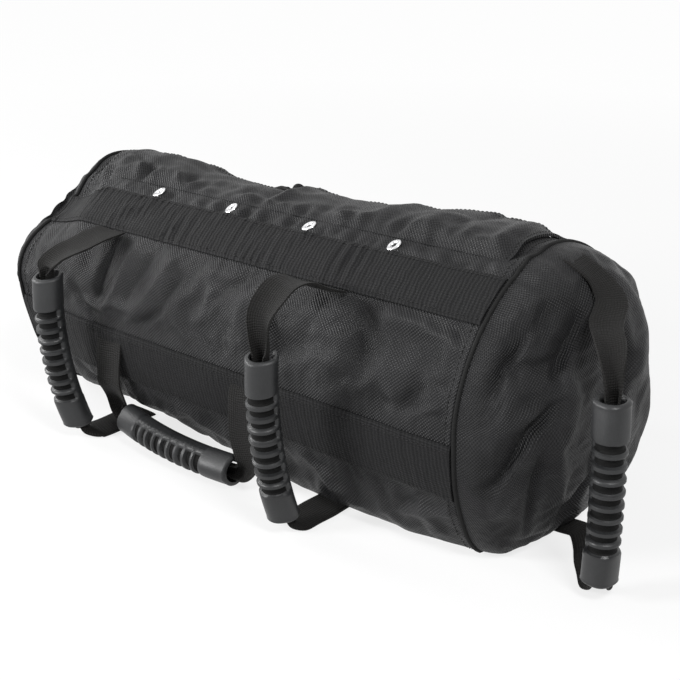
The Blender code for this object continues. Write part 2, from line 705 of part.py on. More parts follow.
def standing_handle(name, grip, axis_place, turn, reach_low, reach_high, top_level, arch):
    """A loop that swings about an upright axis: strap round ends, arms, and the grip between them."""
    lean = math.atan2(reach_high - reach_low, GRIP_LENGTH)
    middle = Vector(((reach_low + reach_high) / 2, 0, GRIP_CLEARANCE + GRIP_LENGTH / 2 * math.cos(lean)))
    placed = Matrix.Translation(middle) @ Matrix.Rotation(lean, 4, "Y")
    lower = [(reach_low * share, FOOT_LEVEL, STRAP_WIDTH) for share in FOOT_SHARES]
    lower.append((reach_low - FOOT_INSET, FOOT_LEVEL + FOOT_LIFT, HALF_FOLDED_WIDTH))
    upper = arch(placed @ Vector((0, 0, GRIP_LENGTH / 2)))
    path = smooth(arm_stations(lower) + through_grip(placed) + arm_stations(upper), 3)
    stations = round_end(FOOT_LEVEL) + path + round_end(top_level)[::-1]
    axis = hang_handle(name, stations, grip, placed)
    axis.location = axis_place
    axis.rotation_euler = (0, 0, math.radians(turn))


def hang_handle(name, stations, grip, placed):
    """A strap and its grip on an empty that stands on their swing axis."""
    strap = add(f"{name}_strap", ribbon(f"{name}_strap", stations), "webbing")
    held = add(f"{name}_grip", grip, "grip_rubber")
    axis = bpy.data.objects.new(f"{name}_axis", None)
    COLLECTIONS["sandbag_trainer"].objects.link(axis)
    strap.parent = axis
    held.parent = axis
    held.matrix_local = placed
    return axis


def side_handles(grip):
    """The four standing handles, two on the front and two on the back, with their sewn roots."""
    for end, x in BAND_PLACES.items():
        for face, side in (("front", -1), ("back", 1)):
            name = f"{face}_{end}"
            edge_turn = UPPER_STRIP_TURN - STRIP_HALF_TURN
            edge = skin(x, edge_turn if side < 0 else back(edge_turn))
            axis_y = abs(edge.y) + STRAP_END_RADIUS + PIVOT_STANDOFF
            root_level = edge.z - ROOT_DROP
            top_level = root_level + STRAP_THICKNESS + GAP
            shares = ARCH_SHARES if side < 0 else DROOP_SHARES
            reaches = NEAR_REACH if name == "front_left" else SIDE_REACH

            def arch(grip_top, level=top_level, points=shares, reach=reaches[1]):
                flat = STRAP_END_RADIUS + STRAP_OVERRUN
                over_grip = level + (grip_top.z - level) * OVER_GRIP_SHARE
                rows = []
                for share, rise in points:
                    rows.append((flat + (reach - flat) * share, level + rise * ARCH_RISE, STRAP_WIDTH))
                rows[-1] = (rows[-1][0], over_grip, HALF_FOLDED_WIDTH)
                return rows[::-1]

            standing_handle(name, grip, (x, side * axis_y, 0), SIDE_SWINGS[name], *reaches, top_level, arch)
            upper_root(f"{name}_upper_root", x, side, edge_turn, axis_y, root_level)
            lower_root(f"{name}_lower_root", x, side, axis_y)


def root_end(placed, across):
    """The round end of a sewn root, on the axis that its strap turns about."""
    return [[placed @ (-point[0]), across, *point[2:]] for point in reversed(round_end(0.0))]


def upper_root(name, x, side, edge_turn, axis_y, level):
    """Webbing that comes out from under a strip and carries the strap's upper end."""
    across = Vector((1, 0, 0))
    lift = GAP + STRAP_THICKNESS / 2
    below = math.degrees((STRAP_THICKNESS / 2 + GAP) / HALF_WIDTH)
    starts = [edge_turn - below * steps for steps in ROOT_STEPS]
    points = [skin(x, turn if side < 0 else back(turn), lift) for turn in starts]
    points.append(Vector((x, side * (axis_y - STRAP_END_RADIUS), level)))
    stations = smooth([[point, across, 2 * STRAP_END_RADIUS, STRAP_THICKNESS] for point in points], 2)
    turned = Matrix.Translation((x, side * axis_y, level)) @ Matrix.Rotation(side * math.pi / 2, 4, "Z")
    add(name, ribbon(name, stations + root_end(turned, across)), "webbing")


def lower_root(name, x, side, axis_y):
    """Webbing that comes out from under the bag and carries the strap's lower end."""
    inner = half_width_at(STRAP_THICKNESS + GAP)
    edges = sorted((side * (inner + GAP), side * (axis_y + STRAP_END_RADIUS)))
    low = (x - STRAP_END_RADIUS, edges[0], 0.0)
    high = (x + STRAP_END_RADIUS, edges[1], STRAP_THICKNESS)
    box(name, low, high, "webbing")


def end_handles(grip):
    """The carrying loop at each round end, sewn in above and under the swollen panel."""
    for name, side in (("right_end", 1), ("left_end", -1)):
        root_share = END_ROOT_SHARES[side]
        lift = GAP + STRAP_THICKNESS / 2 if root_share == 1.0 else 0.0
        root_level = CENTRE_HEIGHT + top_rise(side * SEAM) * root_share + lift
        top_level = root_level + STRAP_THICKNESS + GAP
        arm_share = (CENTRE_HEIGHT - 2 * STRAP_THICKNESS - 3 * GAP) / BOTTOM_DROP
        widest = puffed_to(min(arm_share, root_share), side)
        axis_x = widest + STRAP_END_RADIUS + 2 * GAP

        def arch(grip_top, level=top_level, points=END_ARCH_SHARES[side]):
            fall = level - grip_top.z
            rows = [(share * END_REACH, level - drop * fall, STRAP_WIDTH) for share, drop in points]
            rows[-1] = (*rows[-1][:2], HALF_FOLDED_WIDTH)
            return rows[::-1]

        turn = END_SWINGS[name]
        standing_handle(name, grip, (side * axis_x, 0, 0), turn, END_REACH, END_REACH, top_level, arch)
        start_x = SEAM + PIPING_RADIUS if root_share == 1.0 else widest
        end_roots(name, side, start_x + GAP, axis_x, root_level)


def end_roots(name, side, start_x, axis_x, level):
    """The two sewn ends that carry an end handle, one above the panel and one under it."""
    across = Vector((0, 1, 0))
    start = [Vector((side * start_x, 0, level)), across, 2 * STRAP_END_RADIUS, STRAP_THICKNESS]
    turned = Matrix.Translation((side * axis_x, 0, level)) @ Matrix.Rotation((1 - side) * math.pi / 2, 4, "Z")
    add(f"{name}_upper_root", ribbon(f"{name}_upper_root", [start] + root_end(turned, across)), "webbing")
    foot_share = (CENTRE_HEIGHT - STRAP_THICKNESS - GAP) / BOTTOM_DROP
    edges = sorted((side * (puffed_to(foot_share, side) + GAP), side * (axis_x + STRAP_END_RADIUS)))
    low = (edges[0], -STRAP_END_RADIUS, 0.0)
    high = (edges[1], STRAP_END_RADIUS, STRAP_THICKNESS)
    box(f"{name}_lower_root", low, high, "webbing")


def long_axis():
    """Where the lengthwise handles' swing axis lies: in front of the tabs on the lower strip."""
    lift = GAP * 3 + STRIP_THICKNESS + STRAP_THICKNESS * 1.5
    return skin(0.0, LOWER_STRIP_TURN, lift)


def long_handle(name, grip, side):
    """A lengthwise loop that hangs from the lower strip and swings up about it."""
    first, second = (Vector((x, side * -y, z)) for x, y, z in LONG_GRIP_ENDS)
    along = (second - first).normalized()
    outward = Vector((0, side, 0))
    outward = (outward - along * outward.dot(along)).normalized()
    turn = Matrix((outward, along.cross(outward), along)).transposed().to_4x4()
    placed = Matrix.Translation((first + second) / 2) @ turn
    inside = [[centre, across * side, width, thick] for centre, across, width, thick in through_grip(placed)]
    up = Vector((0, 0, 1))
    arms = []
    for x, end, way in ((LONG_ROOTS[0], inside[0][0], -1), (LONG_ROOTS[1], inside[-1][0], 1)):
        root = Vector((x, 0, 0))
        level = Vector((-way, 0, 0))
        hanging = [root - up * LONG_ROOT_DROP, level, LONG_STRAP_WIDTH, STRAP_THICKNESS]
        curl = []
        for degrees in LONG_CURL_TURNS:
            turned = math.radians(degrees)
            curled = end + (along * way * math.sin(turned) + up * (1.0 - math.cos(turned))) * LONG_CURL
            across = inside[0][1] * math.cos(turned) + level * math.sin(turned)
            curl.append([curled, across, FOLDED_WIDTH, STRAP_THICKNESS])
        arms.append([[root, *hanging[1:]], hanging, *reversed(curl)])
    path = smooth([*arms[0][1:], *inside, *reversed(arms[1][1:])], 3)
    axis = hang_handle(name, [arms[0][0], *path, arms[1][0]], grip, placed)
    axis_at = long_axis()
    axis.location = (0, -side * axis_at.y, axis_at.z)


def long_roots(name, side):
    """The two tabs on the lower strip that carry a lengthwise handle."""
    half = math.degrees(TAB_LENGTH / 2 / HALF_WIDTH)
    middle_turn = LOWER_STRIP_TURN if side < 0 else back(LOWER_STRIP_TURN)
    turns = spread(middle_turn - half, middle_turn + half, 4)
    lift = GAP * 2 + STRIP_THICKNESS
    for end, x in zip(("left", "right"), LONG_ROOTS):
        places = (x - LONG_STRAP_WIDTH / 2, x + LONG_STRAP_WIDTH / 2)
        sheet(f"{name}_{end}_root", places, turns, lambda at: lift, STRAP_THICKNESS, "webbing")


def build():
    shell()
    end_panel("left_end_panel", -1)
    end_panel("right_end_panel", 1)
    piping("left_piping", -1)
    piping("right_piping", 1)
    strip("front_upper_strip", UPPER_STRIP_TURN)
    strip("front_lower_strip", LOWER_STRIP_TURN)
    strip("back_upper_strip", back(UPPER_STRIP_TURN))
    strip("back_lower_strip", back(LOWER_STRIP_TURN))
    flap()
    fasteners()
    eyelets()
    zip_fastening()
    filler_bags()
    grip = grip_mesh()
    side_handles(grip)
    end_handles(grip)
    for name, side in (("front_long", -1), ("back_long", 1)):
        long_handle(name, grip, side)
        long_roots(name, side)


build()
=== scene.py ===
# %% [markdown]
# # A sandbag trainer
# The real thing is a round duffel of heavy woven nylon, filled with sand, that lies on its side. It has
# webbing strips along its length, a flap over its zip, a row of eyelets and eight loop handles with
# moulded rubber grips. This lesson dresses a finished engineering model of it in cloth, webbing, rubber
# and metal. The model comes first, as a fixed frame that nothing here moves.

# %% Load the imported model
import json
import math

import bmesh
import bpy
import numpy as np
from mathutils import Matrix, Vector


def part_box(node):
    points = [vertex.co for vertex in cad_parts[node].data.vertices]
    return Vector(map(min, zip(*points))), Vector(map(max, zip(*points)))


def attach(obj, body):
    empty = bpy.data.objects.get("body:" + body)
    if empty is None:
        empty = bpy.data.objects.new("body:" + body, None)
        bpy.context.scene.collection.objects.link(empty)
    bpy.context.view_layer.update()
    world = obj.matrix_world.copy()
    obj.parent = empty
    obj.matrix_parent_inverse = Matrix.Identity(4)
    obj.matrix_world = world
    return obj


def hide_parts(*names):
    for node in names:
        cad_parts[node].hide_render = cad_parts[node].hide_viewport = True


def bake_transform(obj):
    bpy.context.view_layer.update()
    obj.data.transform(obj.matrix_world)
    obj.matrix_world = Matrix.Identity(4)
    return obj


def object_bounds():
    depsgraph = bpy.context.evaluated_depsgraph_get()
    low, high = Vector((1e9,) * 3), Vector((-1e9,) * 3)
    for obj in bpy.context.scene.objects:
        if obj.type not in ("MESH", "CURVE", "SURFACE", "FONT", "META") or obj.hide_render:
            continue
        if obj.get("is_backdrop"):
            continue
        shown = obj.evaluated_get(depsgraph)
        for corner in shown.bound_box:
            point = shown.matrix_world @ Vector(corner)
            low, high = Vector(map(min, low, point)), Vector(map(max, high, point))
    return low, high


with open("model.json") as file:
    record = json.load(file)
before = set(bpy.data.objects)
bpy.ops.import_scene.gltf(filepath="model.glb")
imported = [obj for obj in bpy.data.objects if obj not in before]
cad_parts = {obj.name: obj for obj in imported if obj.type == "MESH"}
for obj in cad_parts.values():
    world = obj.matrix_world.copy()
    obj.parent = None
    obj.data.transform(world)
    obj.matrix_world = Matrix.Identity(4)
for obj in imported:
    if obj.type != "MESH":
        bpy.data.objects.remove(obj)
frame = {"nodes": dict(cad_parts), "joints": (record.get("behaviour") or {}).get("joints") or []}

cad_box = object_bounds()
JOINTS = {joint["name"]: joint for joint in frame["joints"]}

# %% [markdown]
# The camera looks from the right front and a little from above. A long lens far away keeps the bag's two
# ends at nearly the same scale, as in a product picture. It could be aimed by a tracking constraint, but
# a fixed direction is simpler and stays put.

# %% Camera
VIEW_AROUND = math.radians(40)
VIEW_DOWN = math.radians(22)
VIEW_CENTRE = Vector((0.0662, -0.0294, 0.1155))
VIEW_DISTANCE = 1.26
SENSOR_WIDTH = 36.0
PICTURE_WIDTH = 680
FOCAL_PIXELS = 1500

scene = bpy.context.scene
forward = Vector((
    -math.sin(VIEW_AROUND) * math.cos(VIEW_DOWN), math.cos(VIEW_AROUND) * math.cos(VIEW_DOWN),
    -math.sin(VIEW_DOWN)))
camera = bpy.data.objects.new("camera", bpy.data.cameras.new("camera"))
scene.collection.objects.link(camera)
camera.location = VIEW_CENTRE - forward * VIEW_DISTANCE
camera.rotation_euler = forward.to_track_quat("-Z", "Y").to_euler()
camera.data.sensor_width = SENSOR_WIDTH
camera.data.lens = FOCAL_PIXELS / PICTURE_WIDTH * SENSOR_WIDTH
scene.camera = camera
print("lens", round(camera.data.lens, 1), "mm")

# %% [markdown]
# Every material below is made of nodes. A small helper class keeps that short: it adds a node, sets its
# values and joins its inputs in one line. It could be done by hand in the node editor just as well.

# %% A short way to write materials


class Nodes:
    def __init__(self, tree):
        self.tree = tree

    def add(self, kind, values=(), **settings):
        """A node of a kind, with its settings, and its inputs given by name or number."""
        node = self.tree.nodes.new(kind)
        for name, value in settings.items():
            setattr(node, name, value)
        for name, value in dict(values).items():
            if isinstance(value, bpy.types.NodeSocket):
                self.tree.links.new(value, node.inputs[name])
            else:
                node.inputs[name].default_value = value
        return node

    def maths(self, operation, *values):
        return self.add("ShaderNodeMath", dict(enumerate(values)), operation=operation).outputs[0]

    def total(self, *parts):
        """The sum of values, each times its share."""
        values = [value if share == 1 else self.maths("MULTIPLY", value, share) for value, share in parts]
        added = values[0]
        for value in values[1:]:
            added = self.maths("ADD", added, value)
        return added

    def wave(self, value, length):
        """A sine wave that repeats after a length."""
        return self.maths("SINE", self.maths("MULTIPLY", value, 2 * math.pi / length))

    def ramp(self, fac, low, high, dark, light):
        """A value mapped from a span to two colours."""
        node = self.add("ShaderNodeValToRGB", {"Fac": fac})
        for element, position, colour in zip(node.color_ramp.elements, (low, high), (dark, light)):
            element.position = position
            element.color = (*colour, 1)
        return node.outputs["Color"]

    def span(self, value, low, high, new_low, new_high):
        """A value mapped from one span to another."""
        values = {"Value": value, "From Min": low, "From Max": high, "To Min": new_low, "To Max": new_high}
        return self.add("ShaderNodeMapRange", values).outputs["Result"]

    def noise(self, place, scale, detail, roughness):
        values = {"Vector": place, "Scale": scale, "Detail": detail, "Roughness": roughness}
        return self.add("ShaderNodeTexNoise", values).outputs["Fac"]

    def place(self):
        """Where on its piece a point lies, in metres."""
        return self.add("ShaderNodeTexCoord").outputs["Object"]

    def flat(self):
        """The flat coordinates of a point in metres: X along its piece and Y across."""
        layer = self.add("ShaderNodeUVMap", uv_map="flat").outputs["UV"]
        return self.add("ShaderNodeSeparateXYZ", {"Vector": layer}).outputs

    def seen(self):
        """1 for what the camera sees, be it directly, in a gloss or through glass."""
        rays = self.add("ShaderNodeLightPath").outputs
        gloss_or_glass = self.maths("MAXIMUM", rays["Is Glossy Ray"], rays["Is Transmission Ray"])
        return self.maths("MAXIMUM", rays["Is Camera Ray"], gloss_or_glass)


def new_material(name, **sockets):
    """A material with its nodes helper, its shader, and even values set on the shader's own sockets."""
    material = bpy.data.materials.new(name)
    material.use_nodes = True
    nodes = Nodes(material.node_tree)
    shader = material.node_tree.nodes["Principled BSDF"]
    for socket, value in sockets.items():
        shader.inputs[socket.replace("_", " ")].default_value = value
    return material, nodes, shader


def join_up(nodes, shader, colour, roughness, height, distance):
    """Joins a colour, a roughness and a bump of a height in metres to the shader."""
    nodes.tree.links.new(colour, shader.inputs["Base Color"])
    nodes.tree.links.new(roughness, shader.inputs["Roughness"])
    bump = nodes.add("ShaderNodeBump", {"Height": height, "Distance": distance, "Strength": 1.0})
    nodes.tree.links.new(bump.outputs["Normal"], shader.inputs["Normal"])


print("materials helper ready")

# %% [markdown]
# The bag's cloth is a coarse coated nylon. Its threads cross in a plain weave that shows as small raised
# diamonds about three millimetres apart. Real threads would need millions of faces, so the weave is a
# bump that follows the cloth's own flat coordinates, which are stored in metres in a UV map. Ridges of
# folds are painted paler, partly as wear from rubbing and partly as painted light, and hollows are
# painted darker as painted shade: an attribute of the mesh tells one from the other.

# %% Woven cloth
CLOTH_ROUGHNESS = 0.46
CLOTH_BUMP = 0.0006
CREST_HEIGHT = 3.5  # mm above or below its surroundings for full wear and painted light, or for full painted shade
CREST_WEAR_AND_SHADE = 0.16
DUST_COLOUR = (0.012, 0.012, 0.0115, 1)


def woven_cloth(name, dark, light, pitch):
    """A plain weave with worn patches, fine dust, ridges paled by wear and painted light, and hollows in
    painted shade.
    """
    material, nodes, shader = new_material(
        name, Sheen_Weight=0.02, Sheen_Roughness=0.4, Specular_IOR_Level=0.16)
    patches = nodes.noise(nodes.place(), 14.0, 5.0, 0.6)
    dust = nodes.noise(nodes.place(), 160.0, 4.0, 0.7)
    flat = nodes.flat()
    crossing = nodes.maths("MULTIPLY", nodes.wave(flat["X"], pitch), nodes.wave(flat["Y"], pitch))
    weave = nodes.span(crossing, -1.0, 1.0, 0.0, 1.0)
    crest = nodes.add("ShaderNodeAttribute", attribute_name="crest").outputs["Fac"]
    # Fold ridges painted paler, partly wear from rubbing and partly painted light; hollows painted darker as
    # painted shade
    ridge_wear_and_painted_shade = nodes.span(crest, -CREST_HEIGHT, CREST_HEIGHT, -CREST_WEAR_AND_SHADE, CREST_WEAR_AND_SHADE)
    colour = nodes.ramp(nodes.total((patches, 0.6), (weave, 0.4), (ridge_wear_and_painted_shade, 1)), 0.3, 0.75, dark, light)
    dusted = nodes.add(
        "ShaderNodeMix", {0: nodes.span(dust, 0.62, 0.8, 0.0, 0.5), 6: colour, 7: DUST_COLOUR},
        data_type="RGBA", blend_type="ADD").outputs[2]
    worn = nodes.span(patches, 0.3, 0.7, CLOTH_ROUGHNESS + 0.08, CLOTH_ROUGHNESS - 0.08)
    rough = nodes.total((worn, 1), (nodes.span(weave, 0.0, 1.0, 0.08, -0.08), 1))
    join_up(nodes, shader, dusted, rough, nodes.total((weave, 1), (dust, 0.25)), CLOTH_BUMP)
    return material


BAG_CLOTH = woven_cloth("bag_cloth", (0.0048, 0.0048, 0.0052), (0.0215, 0.0215, 0.0225), 0.0029)
LINER_CLOTH = woven_cloth("liner_cloth", (0.19, 0.18, 0.16), (0.31, 0.3, 0.28), 0.002)
print("woven cloth", BAG_CLOTH.name, LINER_CLOTH.name)

# %% [markdown]
# Webbing is woven much thicker, with ribs across the band that slant a little. On the narrower straps
# the slant turns back part of the way across. The ribs are again a bump on the flat coordinates: X runs
# along the band and Y across it. A noise shifts them a little, so that no rib is ruler straight.

# %% Webbing
WEBBING_BUMP = 0.0003
RIB_SLANT = 0.12
RIB_UNEVEN = 1.6
THREAD_PITCH = 0.0022


def webbing_material(name, dark, light, rib, column):
    """Ribs of a width across a band, whose slant turns back after each column of its width."""
    material, nodes, shader = new_material(
        name, Sheen_Weight=0.02, Sheen_Roughness=0.5, Specular_IOR_Level=0.12)
    flat = nodes.flat()
    bend = nodes.maths("PINGPONG", flat["Y"], column)
    wool = nodes.noise(nodes.place(), 90.0, 5.0, 0.7)
    slanted = nodes.total((flat["X"], 1), (bend, RIB_SLANT), (wool, rib * RIB_UNEVEN))
    ribs = nodes.span(nodes.wave(slanted, rib), -1.0, 1.0, 0.0, 1.0)
    colour = nodes.ramp(nodes.total((ribs, 0.35), (wool, 0.7)), 0.2, 0.85, dark, light)
    height = nodes.total((ribs, 1), (nodes.wave(flat["Y"], THREAD_PITCH), 0.4), (wool, 0.35))
    join_up(nodes, shader, colour, nodes.span(wool, 0.3, 0.7, 0.58, 0.76), height, WEBBING_BUMP)
    return material


WEBBING = webbing_material(
    "strip_webbing", (0.0035, 0.0035, 0.0038), (0.012, 0.012, 0.0125), 0.0036, 0.08)
STRAP_WEBBING = webbing_material(
    "strap_webbing", (0.0045, 0.0044, 0.0042), (0.013, 0.0125, 0.012), 0.002, 0.02)
print("webbing", WEBBING.name, STRAP_WEBBING.name)

# %% [markdown]
# The grips are a firm, slightly worn rubber. The seam cord, the thread, the hook and loop tapes, the
# zip's plastic and the two metals need less, but each has its own grain, wear and gloss.

# %% Rubber, cord, plastic and metal


def grained(name, dark, light, scale, roughness, bump, stretch=(1, 1, 1), **sockets):
    """A finish with two sizes of grain: large worn patches and a fine surface texture."""
    material, nodes, shader = new_material(name, **sockets)
    drawn = nodes.add("ShaderNodeMapping", {"Vector": nodes.place(), "Scale": stretch}).outputs["Vector"]
    fine = nodes.noise(drawn, scale, 6.0, 0.65)
    worn = nodes.noise(nodes.place(), 30.0, 4.0, 0.6)
    colour = nodes.ramp(nodes.total((fine, 0.4), (worn, 0.6)), 0.35, 0.7, dark, light)
    join_up(nodes, shader, colour, nodes.span(worn, 0.35, 0.65, *roughness), fine, bump)
    return material


GRIP_RUBBER = grained(
    "grip_rubber", (0.010, 0.0104, 0.011), (0.023, 0.0238, 0.025), 900.0, (0.36, 0.52), 0.00012,
    Specular_IOR_Level=0.4)
# A darker, duller copy of the grip rubber for the grooves: painted shade in the recesses
GROOVE_SHADE_RUBBER = grained(
    "groove_shade_rubber", (0.002, 0.002, 0.002), (0.0045, 0.0045, 0.0045), 700.0, (0.7, 0.85), 0.00015,
    Specular_IOR_Level=0.15)
SEAM_CORD = grained(
    "seam_cord", (0.004, 0.004, 0.004), (0.012, 0.012, 0.012), 500.0, (0.65, 0.8), 0.0003,
    Specular_IOR_Level=0.15)
THREAD = grained(
    "sewing_thread", (0.006, 0.006, 0.006), (0.016, 0.016, 0.016), 1200.0, (0.6, 0.75), 0.0001,
    Specular_IOR_Level=0.2)
NICKEL = grained(
    "eyelet_nickel", (0.62, 0.62, 0.63), (0.86, 0.86, 0.87), 350.0, (0.16, 0.34), 0.00004, Metallic=1.0)
DARK_NICKEL = grained(
    "zip_nickel", (0.2, 0.2, 0.21), (0.42, 0.42, 0.43), 500.0, (0.25, 0.42), 0.00004, (1, 1, 6), Metallic=1.0)
ZIP_PLASTIC = grained(
    "zip_plastic", (0.012, 0.012, 0.013), (0.028, 0.028, 0.03), 800.0, (0.35, 0.5), 0.00008)
HOOK_TAPE = grained(
    "hook_and_loop", (0.005, 0.005, 0.005), (0.02, 0.02, 0.02), 1500.0, (0.85, 0.95), 0.0006)
print("plain finishes ready")

# %% [markdown]
# The bag's own shape follows a rule: one rounded section, flatter below, that is swept along X and
# climbs a little to the right. The engineering model uses the same rule, so repeating it here puts the
# cloth exactly where the solid is. A place on the bag is a pair of numbers: how far along, and how many
# degrees round from the front.

# %% The rule of the bag's surface
TUBE_LENGTH = 0.498
HALF_WIDTH = 0.119
CENTRE_HEIGHT = 0.117
TOP_RISE = 0.107
TOP_SLOPE = 0.03
BOTTOM_DROP = 0.124
UPPER_ROUNDNESS = 1.85
LOWER_ROUNDNESS = 2.5
END_PUFFS = {-1: 0.016, 1: 0.062}
RIM_LENGTH = 0.005
PIPING_RADIUS = 0.0022
GAP = 0.0003
SEAM = TUBE_LENGTH / 2
TUBE_END = SEAM - PIPING_RADIUS - GAP
FLOOR_CLEARANCE = 0.0002
MM = 0.001


def turn_of(length):
    """How many degrees round the bag a length of cloth takes."""
    return math.degrees(length / HALF_WIDTH)


def length_of(turn):
    """The length of cloth in a number of degrees round the bag."""
    return np.radians(turn) * HALF_WIDTH


def round_the_bag(count):
    """Even places round the bag in degrees, from its underside over the front."""
    return np.linspace(-90.0, 270.0, count + 1)[:-1]


def section(x, turn):
    """How far across and how far up from the bag's middle its surface lies."""
    cosine = np.cos(np.radians(turn))
    sine = np.sin(np.radians(turn))
    power = np.where(sine >= 0, 2 / UPPER_ROUNDNESS, 2 / LOWER_ROUNDNESS)
    height = np.where(sine >= 0, TOP_RISE + TOP_SLOPE * x, BOTTOM_DROP)
    across = -np.sign(cosine) * np.abs(cosine) ** power * HALF_WIDTH
    return across, np.sign(sine) * np.abs(sine) ** power * height


def outward(x, turn):
    """Which way the surface faces, front to back and up."""
    before = section(x, turn - 0.5)
    after = section(x, turn + 0.5)
    along, up = after[0] - before[0], after[1] - before[1]
    length = np.hypot(along, up)
    return -up / length, along / length


def skin(x, turn, lift=0.0):
    """Points of the bag's even surface, raised by lift."""
    x, turn, lift = np.broadcast_arrays(*(np.asarray(value, float) for value in (x, turn, lift)))
    across, rise = section(x, turn)
    face_y, face_z = outward(x, turn)
    z = np.maximum(CENTRE_HEIGHT + rise + face_z * lift, FLOOR_CLEARANCE)
    return np.stack([x, across + face_y * lift, z], axis=-1)


print("top of the bag", [round(float(skin(x, 90.0)[2]), 4) for x in (-SEAM, 0, SEAM)])

# %% [markdown]
# The webbing strips, the eyelets and the flap are sewn on in rows along the bag. Their places round it
# are worked out first, because the cloth lies differently near each of them.

# %% Where the rows are sewn on
UPPER_STRIP_TURN = 52.0
LOWER_STRIP_TURN = -13.0
STRIPS = {
    "front_upper": UPPER_STRIP_TURN, "front_lower": LOWER_STRIP_TURN,
    "back_upper": 180 - UPPER_STRIP_TURN, "back_lower": 180 - LOWER_STRIP_TURN,
}
STRIP_WIDTH = 0.042
STRIP_HALF_TURN = turn_of(STRIP_WIDTH / 2)
EYELET_RADIUS = 0.0065
EYELET_TURN = UPPER_STRIP_TURN + STRIP_HALF_TURN + turn_of(EYELET_RADIUS + 0.001)
EYELET_PITCH = 0.088
EYELETS_MIDDLE = 0.003
EYELETS_AT = [EYELETS_MIDDLE + EYELET_PITCH * (k - 1.5) for k in range(4)]
FLAP_TURN = EYELET_TURN + turn_of(EYELET_RADIUS + 0.003)
print("degrees round: eyelets", round(EYELET_TURN, 1), "flap seam", round(FLAP_TURN, 1))

# %% [markdown]
# Real cloth is never as even as the rule. Long folds run across the panels from the places where the
# handles pull. Sculpting them by hand would work too. Here each fold is a line on the unrolled bag with
# a width and a height, so that it can be moved by changing two numbers. Its ridge is fairly sharp, as
# stiff cloth makes it, and its sides run out softly.

# %% The folds of the tube
# Each fold: places along the bag in mm and degrees round it, then its half width and height in mm
BAG_FOLDS = (
    (((-133, 39), (-137, 22), (-139, 7)), 5, -3.0),
    (((-109, 38), (-113, 20), (-127, 3)), 7, 3.0),
    (((-87, 36), (-103, 10)), 6, -2.5),
    (((-57, 38), (-71, 22), (-91, 5)), 9, 2.5),
    (((-47, 30), (-59, 13), (-85, 0)), 6, -3.0),
    (((-17, 38), (-5, 22), (-17, 12)), 10, 2.0),
    (((-9, 6), (14, -2)), 3, -1.8),
    (((24, 36), (5, 30), (-5, 20)), 6, -2.5),
    (((40, 36), (30, 23), (25, 10)), 8, 2.0),
    (((-172, 12), (-155, 3), (-137, -3)), 4, -2.2),
    (((-160, 2), (-141, -1), (-100, -2)), 5, -1.5),
    (((-212, 92), (-150, 76)), 5, -3.5),
    (((-139, 84), (-105, 68)), 5, 2.5),
    (((-160, 62), (-121, 60), (-111, 72)), 5, -2.0),
    (((-243, 88), (-219, 68), (-205, 46)), 6, -2.5),
    (((-230, 80), (-205, 60), (-190, 40)), 8, 2.5),
    (((197, 43), (240, 38)), 5, -2.2),
    (((150, 36), (191, 36), (238, 33)), 7, 2.6),
    (((137, 40), (161, 30), (175, 25)), 6, -2.0),
    (((242, 20), (211, 14), (199, 3)), 7, -2.2),
    (((235, 10), (215, 4)), 6, 2.0),
    (((168, -24), (181, -40), (245, -14)), 6, -2.5),
    (((181, -40), (242, -30)), 8, 2.5),
    (((95, -28), (120, -40), (165, -44)), 9, 2.2),
    (((-60, -26), (-20, -34), (40, -36)), 10, 2.0),
    (((-200, -20), (-170, -32), (-120, -40)), 8, -2.0),
    (((90, 8), (120, 14), (160, 12)), 12, 1.6),
    (((60, 30), (75, 14), (70, 2)), 7, -1.6),
    (((-13, 80), (-13, 95), (-15, 112)), 7, 2.2),
    (((-29, 82), (-27, 98), (-29, 112)), 9, -1.8),
    (((60, 66), (90, 80), (105, 110)), 9, 2.0),
    (((160, 70), (175, 95), (180, 120)), 8, -2.2),
    (((215, 62), (222, 90), (214, 120)), 9, 2.4),
    (((-190, 150), (-150, 165), (-120, 185)), 9, -2.5),
    (((-110, 140), (-70, 160), (-40, 182)), 10, 2.6),
    (((0, 142), (40, 158), (50, 180)), 8, -2.4),
    (((90, 138), (120, 160), (160, 176)), 10, 2.5),
    (((190, 140), (215, 158), (240, 170)), 8, -2.2),
    (((-220, 205), (-150, 215), (-60, 208)), 10, 2.0),
    (((20, 210), (90, 220), (190, 206)), 10, -2.0),
)


def smooth_step(value, low, high):
    """0 at low and 1 at high, with a soft start and end."""
    share = np.clip((value - low) / (high - low), 0.0, 1.0)
    return share * share * (3 - 2 * share)


def fold_heights(u, v, folds):
    """The height of all folds at flat places, each a line with a narrow ridge and soft ends."""
    total = np.zeros_like(u)
    for line, width, height in folds:
        points = np.array(line, float)
        lengths = np.hypot(*(points[1:] - points[:-1]).T)
        reached = np.concatenate([[0.0], np.cumsum(lengths)]) / lengths.sum()
        near = np.full_like(u, 1e9)
        share = np.zeros_like(u)
        for k, (first, second) in enumerate(zip(points, points[1:])):
            step = second - first
            along = np.clip(((u - first[0]) * step[0] + (v - first[1]) * step[1]) / (step @ step), 0.0, 1.0)
            distance = np.hypot(u - first[0] - along * step[0], v - first[1] - along * step[1])
            closer = distance < near
            near = np.where(closer, distance, near)
            share = np.where(closer, reached[k] + along * (reached[k + 1] - reached[k]), share)
        fade = smooth_step(share, -0.25, 0.25) * smooth_step(share, 1.25, 0.75)
        crest = width / 5
        rounded = np.sqrt(near ** 2 + crest ** 2) - crest
        steeper = 1 + 0.35 * near / width
        total += height * np.exp(-1.15 * rounded / width * steeper) * fade
    return total


